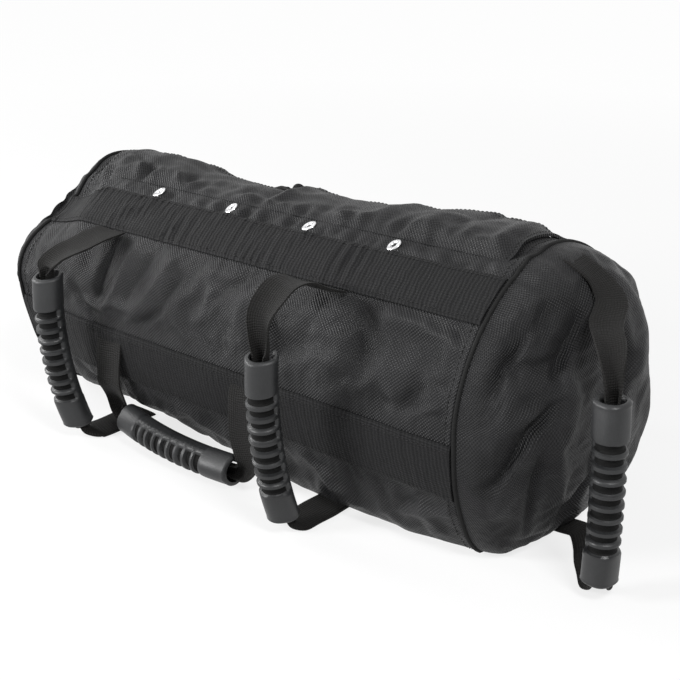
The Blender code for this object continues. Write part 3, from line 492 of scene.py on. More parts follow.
def ripples(u, v, seed, size, count=10):
    """Broad unevenness: a few crossing waves of one size, with a fixed seed."""
    draw = np.random.default_rng(seed)
    total = np.zeros_like(u)
    for way, phase in zip(draw.uniform(0, math.pi, count), draw.uniform(0, 2 * math.pi, count)):
        scale = 2 * math.pi / (size * draw.uniform(0.7, 1.5))
        total += np.sin((u * math.cos(way) + v * math.sin(way)) * scale + phase)
    return total / math.sqrt(count)


print("folds", len(BAG_FOLDS))

# %% [markdown]
# The top hangs slack behind the zip, the left end has slumped where the sand has left it, and at the
# lower right the sand rests forward. Each of these is a few heights along the bag, or a soft dent.
# They are larger than the folds and change the bag's outline.

# %% Slack, dents and the bulge
SLACK_PLACES = (-250, -239, -205, -171, -129, -88, -45, -23, -15, 30, 69, 100, 136, 169, 199, 217, 250)
SLACK_TOP = (0, 0, 0, 0, -3, -6, -6, -7, -3, -4, -3, 0, 0, 0, 0, 0, 0)
SLACK_BACK = (0, 0, -2, -5, -7, -11, -12, -14, -5, -6, -5, -1, 0, 2, 0, -5, -8)
# Degrees round between which the slack of the top starts, goes over into the back's, and ends
SLACK_TURNS = (71, 84, 97, 114, 118, 140)
# Each dent of the left end: depth, middle and spread in degrees, and where along the bag it starts
LEFT_DENTS = ((-0.025, 55.0, 25.0, -0.18), (-0.013, -22.0, 26.0, -0.15))
BULGE_PLACES = (-240, -164, -78, -13, 68, 115, 160, 218, 250)
BULGE = (-7, -5, -2, 6, 13, 16, 16, 13, 8)
BULGE_TURN = -56.0
BULGE_SPREAD = 19.0


def slack(x, turn):
    """How far the slack cloth lies under or over the even surface."""
    starts, changes, ends = (smooth_step(turn, *SLACK_TURNS[k:k + 2]) for k in (0, 2, 4))
    top = np.interp(x / MM, SLACK_PLACES, SLACK_TOP)
    behind = np.interp(x / MM, SLACK_PLACES, SLACK_BACK)
    return (top * (starts - changes) + behind * (changes - ends)) * MM


def drawn_in(x, turn):
    """The dents of the left end and the bulge at the lower right, as an offset."""
    shoulder, cheek = (
        depth * np.exp(-((turn - middle) / spread) ** 2) * smooth_step(x, start, -0.246)
        for depth, middle, spread, start in LEFT_DENTS)
    bulge = np.interp(x / MM, BULGE_PLACES, BULGE) * MM
    return shoulder + cheek + bulge * np.exp(-((turn - BULGE_TURN) / BULGE_SPREAD) ** 2)


print("slack of the top", min(SLACK_TOP), "mm, of the back", min(SLACK_BACK), "mm")

# %% [markdown]
# What is sewn on holds the cloth. The thread gathers it into small puckers along the strips, the strips
# keep it flat, each eyelet keeps a calm patch that tips as a whole, and the flap's seam stays straight,
# because the flap folds about it. All of it is added up to one offset from the even surface.

# %% Puckers, calm places and the sum
PUCKER_PITCH = 0.0092
PUCKER_HEIGHT = 0.0012
CALM_RADIUS = 0.0115
EYELET_TIPS = (0.3, -0.2)  # slopes of the cloth at the eyelets, along the bag and round it
FOLD_GAIN = 1.4
BROAD_RIPPLES = ((3, 0.055, 0.001), (4, 0.022, 0.0004))  # seed, size and height of each


def near_eyelets(x, turn):
    """How close each place is to an eyelet, and how the cloth there tips up and to the left."""
    close, tipped = np.zeros(x.shape), np.zeros(x.shape)
    for place in EYELETS_AT:
        u, v = x - place, length_of(turn - EYELET_TURN)
        share = np.exp(-(np.hypot(u, v) / CALM_RADIUS) ** 4)
        close = np.maximum(close, share)
        tipped += (EYELET_TIPS[0] * u + EYELET_TIPS[1] * v) * share
    return close, tipped


def held_at_flap(turn):
    """1 along the flap's seam and 0 a few millimetres away."""
    return smooth_step(np.abs(length_of(turn - FLAP_TURN)), 0.006, 0.0015)


def near_strip(turn, middle, spread_out):
    """1 on a strip, and less away from it."""
    away = np.maximum(np.abs(turn - middle) - STRIP_HALF_TURN, 0.0)
    return np.exp(-(away / spread_out) ** 2)


def strip_share(turn):
    """1 on any of the strips, which hold the cloth flat."""
    return np.max([near_strip(turn, middle, 2.0) for middle in STRIPS.values()], axis=0)


def puckers(x, turn):
    """Small gathers across the strips, where the thread has drawn the cloth together."""
    drift = ripples(x, turn * 0.0006, 5, 0.05, 6)
    wave = np.sin(2 * math.pi * (x + 0.0003 * turn) / PUCKER_PITCH + 2.6 * drift)
    upper = near_strip(turn, UPPER_STRIP_TURN + 3.0, 6.0) + near_strip(turn, 180 - UPPER_STRIP_TURN, 5.0)
    lower = near_strip(turn, LOWER_STRIP_TURN, 4.0) + near_strip(turn, 180 - LOWER_STRIP_TURN, 4.0)
    strength = np.clip(0.6 + 0.5 * ripples(x, turn * 0.002, 8, 0.06, 6), 0.1, 1.4)
    gathers = ripples(x, turn * 0.0012, 21, 0.019, 12) * near_strip(turn, UPPER_STRIP_TURN + 14.0, 7.0)
    gathers *= 1 - near_strip(turn, UPPER_STRIP_TURN, 0.5)
    wave *= strength * (upper * (0.35 + 0.65 * smooth_step(x, 0.16, 0.1)) + 0.35 * lower)
    return PUCKER_HEIGHT * (wave + 2.0 * gathers)


def relief(x, turn):
    """Folds, puckers and gathers, flat round the eyelets and along the flap's seam."""
    v = length_of(turn) / MM
    lines = [
        ([(px, length_of(pt) / MM) for px, pt in line], width, height) for line, width, height in BAG_FOLDS]
    folds = fold_heights(x / MM, v, lines) * FOLD_GAIN * MM
    broad = sum(ripples(x, v * MM, seed, size) * height for seed, size, height in BROAD_RIPPLES)
    free = 1.0 - 0.75 * strip_share(turn)
    ends = smooth_step(np.abs(x), TUBE_END, TUBE_END - 0.012)
    close = np.maximum(near_eyelets(x, turn)[0], held_at_flap(turn))
    return ((folds + broad) * free * ends + puckers(x, turn)) * (1 - close)


def uneven(x, turn):
    """All the unevenness of the bag's tube, as an offset from the even surface."""
    turn = (turn + 90.0) % 360.0 - 90.0
    hanging = slack(x, turn) * smooth_step(np.abs(x), TUBE_END + 0.01, 0.2) + drawn_in(x, turn)
    return hanging + relief(x, turn) + near_eyelets(x, turn)[1] * (1 - held_at_flap(turn))


print("strips hold the cloth at", sorted(STRIPS.values()), "degrees round")

# %% [markdown]
# Meshes are made from grids of points. One helper turns an outer grid and an inner grid into a closed
# slab, with its flat coordinates in metres. Thickening by a modifier would do as well, but a slab made
# this way keeps the exact thickness where the cloth bends sharply.

# %% Grids into meshes


def closed_round(points):
    """A grid with its first column repeated after its last one."""
    return np.concatenate([points, points[:, :1]], axis=1)


def flat_lengths(points):
    """Flat coordinates of a grid: lengths along its first and its second direction."""
    along = np.linalg.norm(np.diff(points, axis=0), axis=-1).mean(axis=1)
    across = np.linalg.norm(np.diff(points, axis=1), axis=-1).mean(axis=0)
    u = np.concatenate([[0.0], np.cumsum(along)])
    v = np.concatenate([[0.0], np.cumsum(across)])
    return np.stack(np.meshgrid(u, v, indexing="ij"), axis=-1)


def new_object(name, verts, edges, faces):
    mesh = bpy.data.meshes.new(name)
    mesh.from_pydata([tuple(vert) for vert in verts], edges, faces)
    made = bpy.data.objects.new(name, mesh)
    scene.collection.objects.link(made)
    return made


def mend(mesh, close=None):
    """Closes a mesh, if it is told how, and turns all its faces outwards."""
    build = bmesh.new()
    build.from_mesh(mesh)
    if close:
        close(build)
    bmesh.ops.recalc_face_normals(build, faces=build.faces)
    build.to_mesh(mesh)
    build.free()


def make_object(name, verts, faces, uvs, finish):
    """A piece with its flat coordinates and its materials."""
    made = new_object(name, verts, [], faces)
    layer = made.data.uv_layers.new(name="flat")
    layer.data.foreach_set("uv", np.array([pair for face in uvs for pair in face], float).ravel())
    mend(made.data)
    for material in finish if isinstance(finish, (list, tuple)) else [finish]:
        made.data.materials.append(material)
    made.data.shade_smooth()
    made.data.set_sharp_from_angle(angle=math.radians(50))
    return made


def keep_result(made):
    """Replaces an object's mesh by what its modifiers make of it, and removes them."""
    result = bpy.data.meshes.new_from_object(made.evaluated_get(bpy.context.evaluated_depsgraph_get()))
    made.modifiers.clear()
    made.data = result
    result.name = made.name
    return result


def grid_faces(rows, columns, start, uv, wrap=False):
    """Faces between the points of a grid, which may close round, and their flat coordinates."""
    faces, uvs = [], []
    for i in range(rows - 1):
        for j in range(columns if wrap else columns - 1):
            k = (j + 1) % columns
            faces.append((start + i * columns + j, start + i * columns + k,
                          start + (i + 1) * columns + k, start + (i + 1) * columns + j))
            uvs.append((uv[i, j], uv[i, j + 1], uv[i + 1, j + 1], uv[i + 1, j]))
    return faces, uvs


def slab(name, outer, inner, finish, slot):
    """A closed sheet between two grids of points."""
    rows, columns = outer.shape[:2]
    uv = flat_lengths(outer)
    faces, uvs = grid_faces(rows, columns, 0, uv)
    more, more_uvs = grid_faces(rows, columns, rows * columns, uv)
    faces += [tuple(reversed(face)) for face in more]
    uvs += [tuple(reversed(pairs)) for pairs in more_uvs]
    rims = [((i, j), (i, j + 1)) for i in (0, rows - 1) for j in range(columns - 1)]
    rims += [((i, j), (i + 1, j)) for j in (0, columns - 1) for i in range(rows - 1)]
    for (i, j), (m, n) in rims:
        first, second = i * columns + j, m * columns + n
        faces.append((first, second, second + rows * columns, first + rows * columns))
        uvs.append((uv[i, j], uv[m, n], uv[m, n], uv[i, j]))
    verts = np.concatenate([outer.reshape(-1, 3), inner.reshape(-1, 3)])
    return make_object(name, verts, faces, uvs, finish)


print("mesh helpers ready")

# %% [markdown]
# Sewn cloth also wrinkles by itself: it is cut a little larger than the space it fills, so it buckles
# between its seams. A short cloth simulation gives just that. The sheet is told to grow by a few per
# cent while its seams, strips and underside are held, and a cap keeps it close to its first shape.
# Wrinkles could be painted on instead, but those never meet the seams as naturally.

# %% Cloth simulation
CLOTH_GROWTH = 0.035
BUCKLE_LIMIT = 0.006
SETTLING_FRAMES = 22
TUBE_PRESSURE = 1.5
END_PRESSURE = 1.0
NYLON = {
    "quality": 6, "mass": 0.25, "tension_stiffness": 20, "compression_stiffness": 20, "shear_stiffness": 8,
    "bending_stiffness": 0.6, "vertex_group_mass": "held", "pin_stiffness": 1.0, "shrink_min": -CLOTH_GROWTH,
}


def settle(name, points, held, pressure):
    """A grid of cloth, closed round, after it has buckled; held is 1 where it can't move."""
    rows, columns = points.shape[:2]
    faces, _ = grid_faces(rows, columns, 0, np.zeros((rows, columns + 1, 2)), True)
    cloth_object = new_object(name, points.reshape(-1, 3), [], faces)
    group = cloth_object.vertex_groups.new(name="held")
    for k, weight in enumerate(held.ravel()):
        if weight > 0.02:
            group.add([k], float(min(weight, 1.0)), "REPLACE")
    modifier = cloth_object.modifiers.new("cloth", "CLOTH")
    settings = modifier.settings
    for setting, value in NYLON.items():
        setattr(settings, setting, value)
    settings.effector_weights.gravity = 0.0
    settings.use_pressure = True
    settings.uniform_pressure_force = pressure
    modifier.point_cache.frame_start = 1
    modifier.point_cache.frame_end = SETTLING_FRAMES
    for number in range(1, SETTLING_FRAMES + 1):
        scene.frame_set(number)
    evaluated = cloth_object.evaluated_get(bpy.context.evaluated_depsgraph_get())
    moved = np.empty(rows * columns * 3)
    evaluated.data.vertices.foreach_get("co", moved)
    scene.frame_set(1)
    bpy.data.objects.remove(cloth_object)
    moved = moved.reshape(points.shape)
    shift = moved - points
    length = np.linalg.norm(shift, axis=-1, keepdims=True)
    shift *= BUCKLE_LIMIT * np.tanh(length / BUCKLE_LIMIT) / np.maximum(length, 1e-9)
    print(name, "moved at most", round(float(np.linalg.norm(shift, axis=-1).max()) / MM, 1), "mm")
    return points + shift


print("cloth may grow by", CLOTH_GROWTH * 100, "per cent")

# %% [markdown]
# The tube of the bag is one sheet that runs right round. The zip lies in a shallow valley along its top.
# After the simulation every point of the tube has its final place, and everything that is sewn on it,
# such as strips, flap and tapes, finds its own place from the same table.

# %% The tube of the bag
TUBE_ROWS = 125
TUBE_COLUMNS = 180
tube_x = np.linspace(-TUBE_END, TUBE_END, TUBE_ROWS)
GRID_X, GRID_TURN = np.meshgrid(tube_x, round_the_bag(TUBE_COLUMNS), indexing="ij")
even_tube = skin(GRID_X, GRID_TURN)
folded_tube = skin(GRID_X, GRID_TURN, uneven(GRID_X, GRID_TURN))

held = strip_share(GRID_TURN)
held = np.maximum(held, smooth_step(np.abs(GRID_X), TUBE_END - 0.01, TUBE_END - 0.001))
held = np.maximum(held, smooth_step(np.abs(GRID_TURN - 90), 36, 28))
held = np.maximum(held, smooth_step(folded_tube[..., 2], 0.012, 0.004))
settled_tube = settle("tube_cloth", folded_tube, held, TUBE_PRESSURE)
settled_tube[..., 2] = np.maximum(settled_tube[..., 2], FLOOR_CLEARANCE)
tube_shift = closed_round(settled_tube - even_tube)


def on_bag(x, turn, lift=0.0):
    """Points on the finished cloth of the tube, raised by lift."""
    x, turn, lift = np.broadcast_arrays(*(np.asarray(value, float) for value in (x, turn, lift)))
    i = np.clip((x + TUBE_END) / (2 * TUBE_END) * (TUBE_ROWS - 1), 0, TUBE_ROWS - 1.001)
    j = ((turn + 90.0) % 360.0) / 360.0 * TUBE_COLUMNS
    low_i, low_j = i.astype(int), j.astype(int)
    di, dj = (i - low_i)[..., None], (j - low_j)[..., None]
    near = tube_shift[low_i, low_j] * (1 - dj) + tube_shift[low_i, low_j + 1] * dj
    far = tube_shift[low_i + 1, low_j] * (1 - dj) + tube_shift[low_i + 1, low_j + 1] * dj
    placed = skin(x, turn, lift) + near * (1 - di) + far * di
    placed[..., 2] = np.maximum(placed[..., 2], FLOOR_CLEARANCE)
    return placed


ZIP_LENGTH = 0.37
VALLEY_DEPTH = 0.0056
VALLEY_HALF_TURN = 6.8
valley = smooth_step(np.abs(GRID_TURN - 90), VALLEY_HALF_TURN + 3.5, VALLEY_HALF_TURN)
valley *= smooth_step(np.abs(GRID_X), ZIP_LENGTH / 2 + 0.018, ZIP_LENGTH / 2 + 0.006)
tube_points = on_bag(GRID_X, GRID_TURN, -valley * VALLEY_DEPTH)


def fill_borders(build):
    """Faces across a sheet's open borders, which end up on the inside of the bag."""
    bmesh.ops.holes_fill(build, edges=[edge for edge in build.edges if edge.is_boundary], sides=0)


def swollen_cover(name, points, uv, crest):
    """A closed cloth with every face of its grid split in four; crest tells ridges from hollows, in mm, for
    wear and painted shade.
    """
    faces, uvs = grid_faces(*points.shape[:2], 0, uv, True)
    made = make_object(name, points.reshape(-1, 3), faces, uvs, BAG_CLOTH)
    ridges = made.data.attributes.new("crest", "FLOAT", "POINT")
    ridges.data.foreach_set("value", np.ascontiguousarray(crest, np.float32).ravel())
    subdivide = made.modifiers.new("finer", "SUBSURF")
    subdivide.levels = 1
    subdivide.render_levels = 1
    mend(keep_result(made), fill_borders)
    return made


tube_uv = flat_lengths(closed_round(tube_points))
bag_tube = swollen_cover("bag_tube", tube_points, tube_uv, relief(GRID_X, GRID_TURN) / MM)
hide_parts("shell")
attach(bag_tube, "bag")
print("tube faces", len(bag_tube.data.polygons))

# %% [markdown]
# Inside lie three tied sacks with the sand. Each is a closed sweep of the bag's own section, smaller all
# round and lower on top, with rounded ends and creases of its own. Where the left end is drawn in, the
# sacks follow it, so that they never show through the cloth.

# %% Sand sacks
SACK_ROOM = 2 * (TUBE_END - 0.0023)
SACK_INSET = 0.009
SACK_TOP_SHARE = 0.86
SACK_BOTTOM = 0.004
SACK_CREASES = 0.0009
SACK_RINGS = 44
SACK_SIDES = 96
for k, name in enumerate(("left", "middle", "right")):
    share = 0.5 - 0.5 * np.cos(np.linspace(0.05, 0.95, SACK_RINGS) * math.pi)
    share, turn = np.meshgrid(share, np.linspace(0.0, 360.0, SACK_SIDES + 1)[:-1], indexing="ij")
    x = -SACK_ROOM / 2 + (k + share) * (SACK_ROOM / 3)
    rounded = np.sqrt(np.clip(1 - (np.abs(2 * share - 1)) ** 6, 0.0, 1.0))
    dents = np.minimum(drawn_in(x, (turn + 90) % 360 - 90), 0)
    creases = ripples(x, length_of(turn), 30 + k, 0.04) * SACK_CREASES
    points = skin(x, turn, -SACK_INSET + dents + creases)
    rise = points[..., 2] - CENTRE_HEIGHT
    points[..., 1] *= rounded
    level = CENTRE_HEIGHT + rise * rounded * np.where(rise > 0, SACK_TOP_SHARE, 1.0)
    points[..., 2] = np.maximum(level, SACK_BOTTOM)
    faces, uvs = grid_faces(SACK_RINGS, SACK_SIDES, 0, flat_lengths(closed_round(points)), True)
    faces += [tuple(range(start, start + SACK_SIDES)) for start in (0, (SACK_RINGS - 1) * SACK_SIDES)]
    uvs += [((0.0, 0.0),) * SACK_SIDES] * 2
    sack = make_object(f"sand_sack_{name}", points.reshape(-1, 3), faces, uvs, LINER_CLOTH)
    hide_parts(f"filler_bag_{name}")
    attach(sack, "bag")
print("sacks", 3)

# %% [markdown]
# The two round ends are swollen like shallow domes by the sand. The right one shows its folds, which
# fan out from the seam. A dome is a grid of rings from the seam to the middle, and its folds are lines
# seen end on. It gets its own short simulation, held at the seam.

# %% The round ends
# Each fold: places across and up from an end's middle in mm, then its half width and height in mm
RIGHT_FOLDS = (
    (((-70, 75), (-90, 48), (-113, 2)), 9, 3.6),
    (((-50, 88), (-72, 74), (-96, 52), (-117, 25)), 7, -3.0),
    (((-82, 18), (-104, 8), (-115, -8)), 8, 3.2),
    (((-86, -10), (-98, -34), (-100, -66)), 9, 3.0),
    (((-72, 18), (-92, -4), (-108, -42)), 6, -3.4),
    (((-30, 76), (-50, 60), (-62, 44)), 10, -4.5),
    (((-56, 42), (-50, 20), (-56, -8)), 10, 3.4),
    (((-64, -8), (-54, -38), (-48, -64)), 9, 2.8),
    (((-76, -20), (-78, -50), (-72, -84)), 7, -2.6),
    (((38, 76), (56, 40), (38, 16)), 12, 3.0),
    (((20, 92), (36, 80)), 7, 2.2),
    (((12, 60), (26, 30), (16, -6)), 8, -2.6),
    (((60, 60), (84, 30), (92, -6)), 9, -2.4),
    (((70, -20), (62, -50), (40, -80)), 10, 2.6),
    (((-10, -30), (-16, -60), (-30, -92)), 9, -2.4),
    (((98, 30), (106, 0), (100, -40)), 34, -5.0),
)
LEFT_FOLDS = (
    (((-60, 70), (-84, 40), (-104, 6)), 9, 2.6),
    (((-40, 60), (-66, 26), (-84, -16)), 7, -2.4),
    (((50, 70), (76, 40), (96, 0)), 9, 2.6),
    (((30, 62), (54, 24), (70, -20)), 7, -2.6),
    (((-20, -20), (-40, -54), (-50, -90)), 9, 2.2),
    (((24, -24), (46, -60), (50, -92)), 8, -2.2),
    (((-8, 88), (0, 50), (-6, 14)), 8, -2.2),
)
END_RINGS = 52
END_COLUMNS = 150
END_FOLD_WIDTH = 0.75
END_FOLD_GAIN = {-1: 1.5, 1: 2.7}
OUTWARD_LIMIT = 4.0  # mm, so that a swinging grip clears the folds
INWARD_LIMIT = 9.0
END_RIPPLES = ((11, 34.0, 0.9), (13, 14.0, 0.3))  # seed, size and height of each in mm
FRONT_SET_BACK = 3.0  # mm, near the right end's front edge, where its handle's grip comes closest
end_shares = np.cos(np.linspace(0.0, 1.0, END_RINGS) ** 0.8 * math.pi / 2)
end_shares[-1] = 0.012


def end_grid(side, folds):
    """Rings of one round end, from its seam to its middle, with their folds."""
    share, turn = np.meshgrid(end_shares, round_the_bag(END_COLUMNS), indexing="ij")
    rim_shift = on_bag(np.full(END_COLUMNS, side * TUBE_END), turn[0]) - skin(side * TUBE_END, turn[0])
    across, rise = section(side * SEAM, turn)
    swell = (END_PUFFS[side] - RIM_LENGTH) * np.sqrt(1 - share ** 2)
    reach = SEAM + RIM_LENGTH * smooth_step(share, 1.0, 0.97) + swell
    place = np.stack([side * reach, across * share, CENTRE_HEIGHT + rise * share], axis=-1)
    place[..., 1:] += rim_shift[None, :, 1:] * smooth_step(share, 0.75, 1.0)[..., None]
    u, v = place[..., 1] / MM, (place[..., 2] - CENTRE_HEIGHT) / MM
    folds = [(line, END_FOLD_WIDTH * width, height) for line, width, height in folds]
    height = END_FOLD_GAIN[side] * fold_heights(u, v, folds)
    for seed, size, rise_by in END_RIPPLES:
        height = height + ripples(u, v, seed + side, size) * rise_by
    limit = np.where(height > 0, OUTWARD_LIMIT, INWARD_LIMIT)
    height = limit * np.tanh(height / limit)
    if side > 0:
        height -= FRONT_SET_BACK * smooth_step(u, -68.0, -92.0)
    height *= smooth_step(share, 1.0, 0.93) * MM
    lean = share ** 2
    normal = np.stack([side * (1.1 - lean), across / HALF_WIDTH * lean, rise / HALF_WIDTH * lean], axis=-1)
    normal /= np.linalg.norm(normal, axis=-1, keepdims=True)
    place += normal * height[..., None]
    place[..., 2] = np.maximum(place[..., 2], FLOOR_CLEARANCE)
    return place, share, height / MM


def end_cover(name, node, side, folds):
    """One round end, on its own node."""
    place, share, crest = end_grid(side, folds)
    held = np.maximum(smooth_step(share, 0.93, 0.99), smooth_step(share, 0.1, 0.04))
    held = np.maximum(held, smooth_step(place[..., 2], 0.01, 0.003))
    place = settle(name + "_cloth", place, held, END_PRESSURE * side)
    place[..., 2] = np.maximum(place[..., 2], FLOOR_CLEARANCE)
    closed = closed_round(place)
    steps = np.linalg.norm(np.diff(closed, axis=0, append=closed[-1:]), axis=-1)
    arc = np.cumsum(steps[::-1], axis=0)[::-1]
    heading = np.radians(np.linspace(-90.0, 270.0, END_COLUMNS + 1))
    uv = np.stack([arc * np.cos(heading), arc * np.sin(heading)], axis=-1)
    made = swollen_cover(name, place, uv, crest)
    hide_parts(node)
    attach(made, "bag")
    return made


right_end = end_cover("right_end_cover", "right_end_panel", 1, RIGHT_FOLDS)
left_end = end_cover("left_end_cover", "left_end_panel", -1, LEFT_FOLDS)
print("end faces", len(right_end.data.polygons), len(left_end.data.polygons))

# %% [markdown]
# Where the ends meet the tube, a cord in a cloth tape is caught in the seam. It is a thin round sweep
# that follows the last ring of the tube.

# %% Seam cords
CORD_SIDES = 10
CORD_RADIUS = 0.0018


def closed_cord(name, path):
    """A round cord along a closed path of points."""
    rings = []
    for k, point in enumerate(path):
        along = Vector(path[(k + 1) % len(path)] - path[k - 1]).normalized()
        if rings:
            side_way = (side_way - along * side_way.dot(along)).normalized()
        else:
            side_way = along.orthogonal().normalized()
        other = np.array(along.cross(side_way))
        turns = [2 * math.pi * s / CORD_SIDES for s in range(CORD_SIDES)]
        rings.append([
            point + CORD_RADIUS * (math.cos(t) * np.array(side_way) + math.sin(t) * other) for t in turns])
    points = np.array(rings + rings[:1])
    faces, uvs = grid_faces(len(points), CORD_SIDES, 0, flat_lengths(closed_round(points)), True)
    made = make_object(name, points.reshape(-1, 3), faces, uvs, SEAM_CORD)
    mend(made.data, lambda build: bmesh.ops.remove_doubles(build, verts=build.verts, dist=1e-6))
    return made


for end, side in (("left", -1), ("right", 1)):
    turns = round_the_bag(180)
    ring = on_bag(np.full(len(turns), side * TUBE_END), turns)
    ring[:, 0] = side * SEAM
    ring[:, 2] = np.maximum(ring[:, 2], PIPING_RADIUS + FLOOR_CLEARANCE)
    cord = closed_cord(f"{end}_seam_cord", ring)
    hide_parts(f"{end}_piping")
    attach(cord, "bag")
print("points along a seam cord", len(ring))

# %% [markdown]
# Four strips of wide webbing run along the bag. They are slabs that lie on the tube's finished cloth, so
# they share its puckers.

# %% Webbing strips
STRIP_THICKNESS = 0.0022


def lay_on_bag(name, low_x, high_x, low_turn, high_turn, lift, thickness, finish, slot, step=0.0026):
    """A slab of cloth or webbing that lies on the bag; lift may change from place to place."""
    rows = int((high_x - low_x) / step) + 1
    columns = max(int(abs(math.radians(high_turn - low_turn)) * HALF_WIDTH / step) + 1, 6)
    x, turn = np.meshgrid(
        np.linspace(low_x, high_x, rows), np.linspace(low_turn, high_turn, columns), indexing="ij")
    raised = lift(x, turn) if callable(lift) else lift
    thick = thickness(x, turn) if callable(thickness) else thickness
    return slab(name, on_bag(x, turn, raised + thick), on_bag(x, turn, raised), finish, slot)


def edge_rounded(low_turn, high_turn, full):
    """A thickness that is full in the middle and thinner in the last 2 mm at both long edges."""
    def thickness(x, turn):
        edge = np.minimum(np.abs(turn - low_turn), np.abs(turn - high_turn))
        return full * (0.45 + 0.55 * smooth_step(length_of(edge), 0.0, 0.0022))
    return thickness


for strip_name, middle in STRIPS.items():
    low, high = middle - STRIP_HALF_TURN, middle + STRIP_HALF_TURN
    band = lay_on_bag(
        f"{strip_name}_webbing", -TUBE_END, TUBE_END, low, high, GAP,
        edge_rounded(low, high, STRIP_THICKNESS), WEBBING, "webbing")
    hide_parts(f"{strip_name}_strip")
    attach(band, "bag")
print("strips", len(STRIPS))

# %% [markdown]
# The flap hides the zip. It is sewn along its front edge, lies low over the zip and hangs slack behind it.
# Its hook tape and stitches are attached to the flap's part.

# %% Flap and its tapes
FLAP_LENGTH = 0.47
FLAP_WIDTH = 0.092
FLAP_END_TURN = FLAP_TURN + turn_of(FLAP_WIDTH)
FLAP_ROOT_LIFT = 0.0001
FLAP_LOW = 0.0012
FLAP_HIGH = 0.0056
CLOTH_THICKNESS = 0.0017
HEM_THICKNESS = 0.0007


def flap_lift(x, turn):
    """Low in the middle, and high enough at both ends for the zip's slider and stops."""
    ends = smooth_step(np.abs(x), 0.115, 0.15) * smooth_step(np.abs(x), 0.228, 0.21)
    high = FLAP_LOW + (FLAP_HIGH - FLAP_LOW) * ends
    share = smooth_step(turn, FLAP_TURN, FLAP_TURN + 9.0)
    return FLAP_ROOT_LIFT + (high - FLAP_ROOT_LIFT) * share


def flap_thickness(x, turn):
    """A single layer, with a folded hem along the free edge and both ends, and a thin sewn root."""
    to_edge = np.minimum(length_of(FLAP_END_TURN - turn), FLAP_LENGTH / 2 - np.abs(x))
    hem = smooth_step(to_edge, 0.0125, 0.0105)
    root = smooth_step(turn, FLAP_TURN, FLAP_TURN + 6.0)
    return CLOTH_THICKNESS * (0.1 + 0.9 * root) + HEM_THICKNESS * hem * root


cover_flap = lay_on_bag(
    "zip_cover_flap", -FLAP_LENGTH / 2, FLAP_LENGTH / 2, FLAP_TURN, FLAP_END_TURN, flap_lift, flap_thickness,
    BAG_CLOTH, "shell_fabric", 0.0022)
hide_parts("cover_flap")
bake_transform(cover_flap)

TAPE_HALF_LENGTH = 0.185
TAPE_END_TURN = FLAP_END_TURN - turn_of(0.002)
TAPE_START_TURN = TAPE_END_TURN - turn_of(0.018)
for tape, body, share in (("loop", "bag", 0.0), ("hook", "flap", 0.5)):
    pad = lay_on_bag(
        f"{tape}_fastener", -TAPE_HALF_LENGTH, TAPE_HALF_LENGTH, TAPE_START_TURN, TAPE_END_TURN,
        lambda x, turn: 0.0001 + (flap_lift(x, turn) - 0.0002) * share,
        lambda x, turn: flap_lift(x, turn) * 0.45, HOOK_TAPE, "hook_and_loop", 0.004)
    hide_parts(f"{tape}_tape")
    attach(pad, body)
print("flap reaches", round(FLAP_END_TURN, 1), "degrees round")

# %% [markdown]
# Eyelets are pressed from nickel-plated brass: a rolled flange outside and a barrel through the cloth.
# A turned profile gives that directly. Each stands on the finished cloth, tips with it, and leans a few
# degrees more, as its own wrinkles lift it.

# %% Eyelets
# Radius and height in mm, from the flange's rim over its top and down the barrel
EYELET_PROFILE = (
    (6.5, 0.1), (6.5, 0.5), (6.1, 0.95), (5.2, 1.25), (4.2, 1.3), (3.4, 1.05), (2.8, 0.5), (2.55, -0.3),
    (2.5, -1.5), (3.1, -1.5), (3.1, 0.05), (4.6, 0.05),
)
EYELET_STEPS = 40
EYELET_LEANS = (10.0, 14.0, 6.0, 11.0)  # degrees


def turned(profile, steps, placed):
    """A closed profile turned about Z and placed by a matrix, as a grid of points."""
    angles = [2 * math.pi * k / steps for k in range(steps)]
    return np.array([
        [placed @ Vector((r * math.cos(angle), r * math.sin(angle), z)) for r, z in profile]
        for angle in angles])


def stand_on_bag(x, turn, lift=0.0):
    """A matrix in mm that stands on the bag with Z facing out."""
    here = Vector(on_bag(x, turn, lift))
    along = Vector(on_bag(x + 0.006, turn, lift) - on_bag(x - 0.006, turn, lift)).normalized()
    round_it = Vector(on_bag(x, turn + 2.5, lift) - on_bag(x, turn - 2.5, lift))
    out = along.cross(round_it).normalized()
    facing = Matrix((along, out.cross(along), out)).transposed().to_4x4()
    return Matrix.Translation(here) @ facing @ Matrix.Scale(MM, 4)


for k, x in enumerate(EYELETS_AT):
    leaning = Matrix.Rotation(math.radians(EYELET_LEANS[k]), 4, "X")
    points = turned(EYELET_PROFILE, EYELET_STEPS, stand_on_bag(x, EYELET_TURN, 0.0006) @ leaning)
    count = len(EYELET_PROFILE)
    faces, uvs = [], []
    for i in range(EYELET_STEPS):
        for j in range(count):
            m, n = (i + 1) % EYELET_STEPS, (j + 1) % count
            faces.append((i * count + j, m * count + j, m * count + n, i * count + n))
            uvs.append(((i, j), (i + 1, j), (i + 1, j + 1), (i, j + 1)))
    ring = make_object(f"nickel_eyelet_{k + 1}", points.reshape(-1, 3), faces, uvs, NICKEL)
    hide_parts(f"eyelet_{k + 1}")
    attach(ring, "bag")
print("eyelets", len(EYELETS_AT))

# %% [markdown]
# A stitch is a short loop of thread that shows as a small bead. There are about two thousand of them, so
# Geometry Nodes lay them: a curve is resampled at the stitch length, and a stretched ball is set along
# it at each point. One function builds the frame of such a tree, with its inputs for the sizes and the
# finish. It is used again for the zip's teeth.

# %% Stitches by Geometry Nodes
STITCH_PITCH = 0.0042


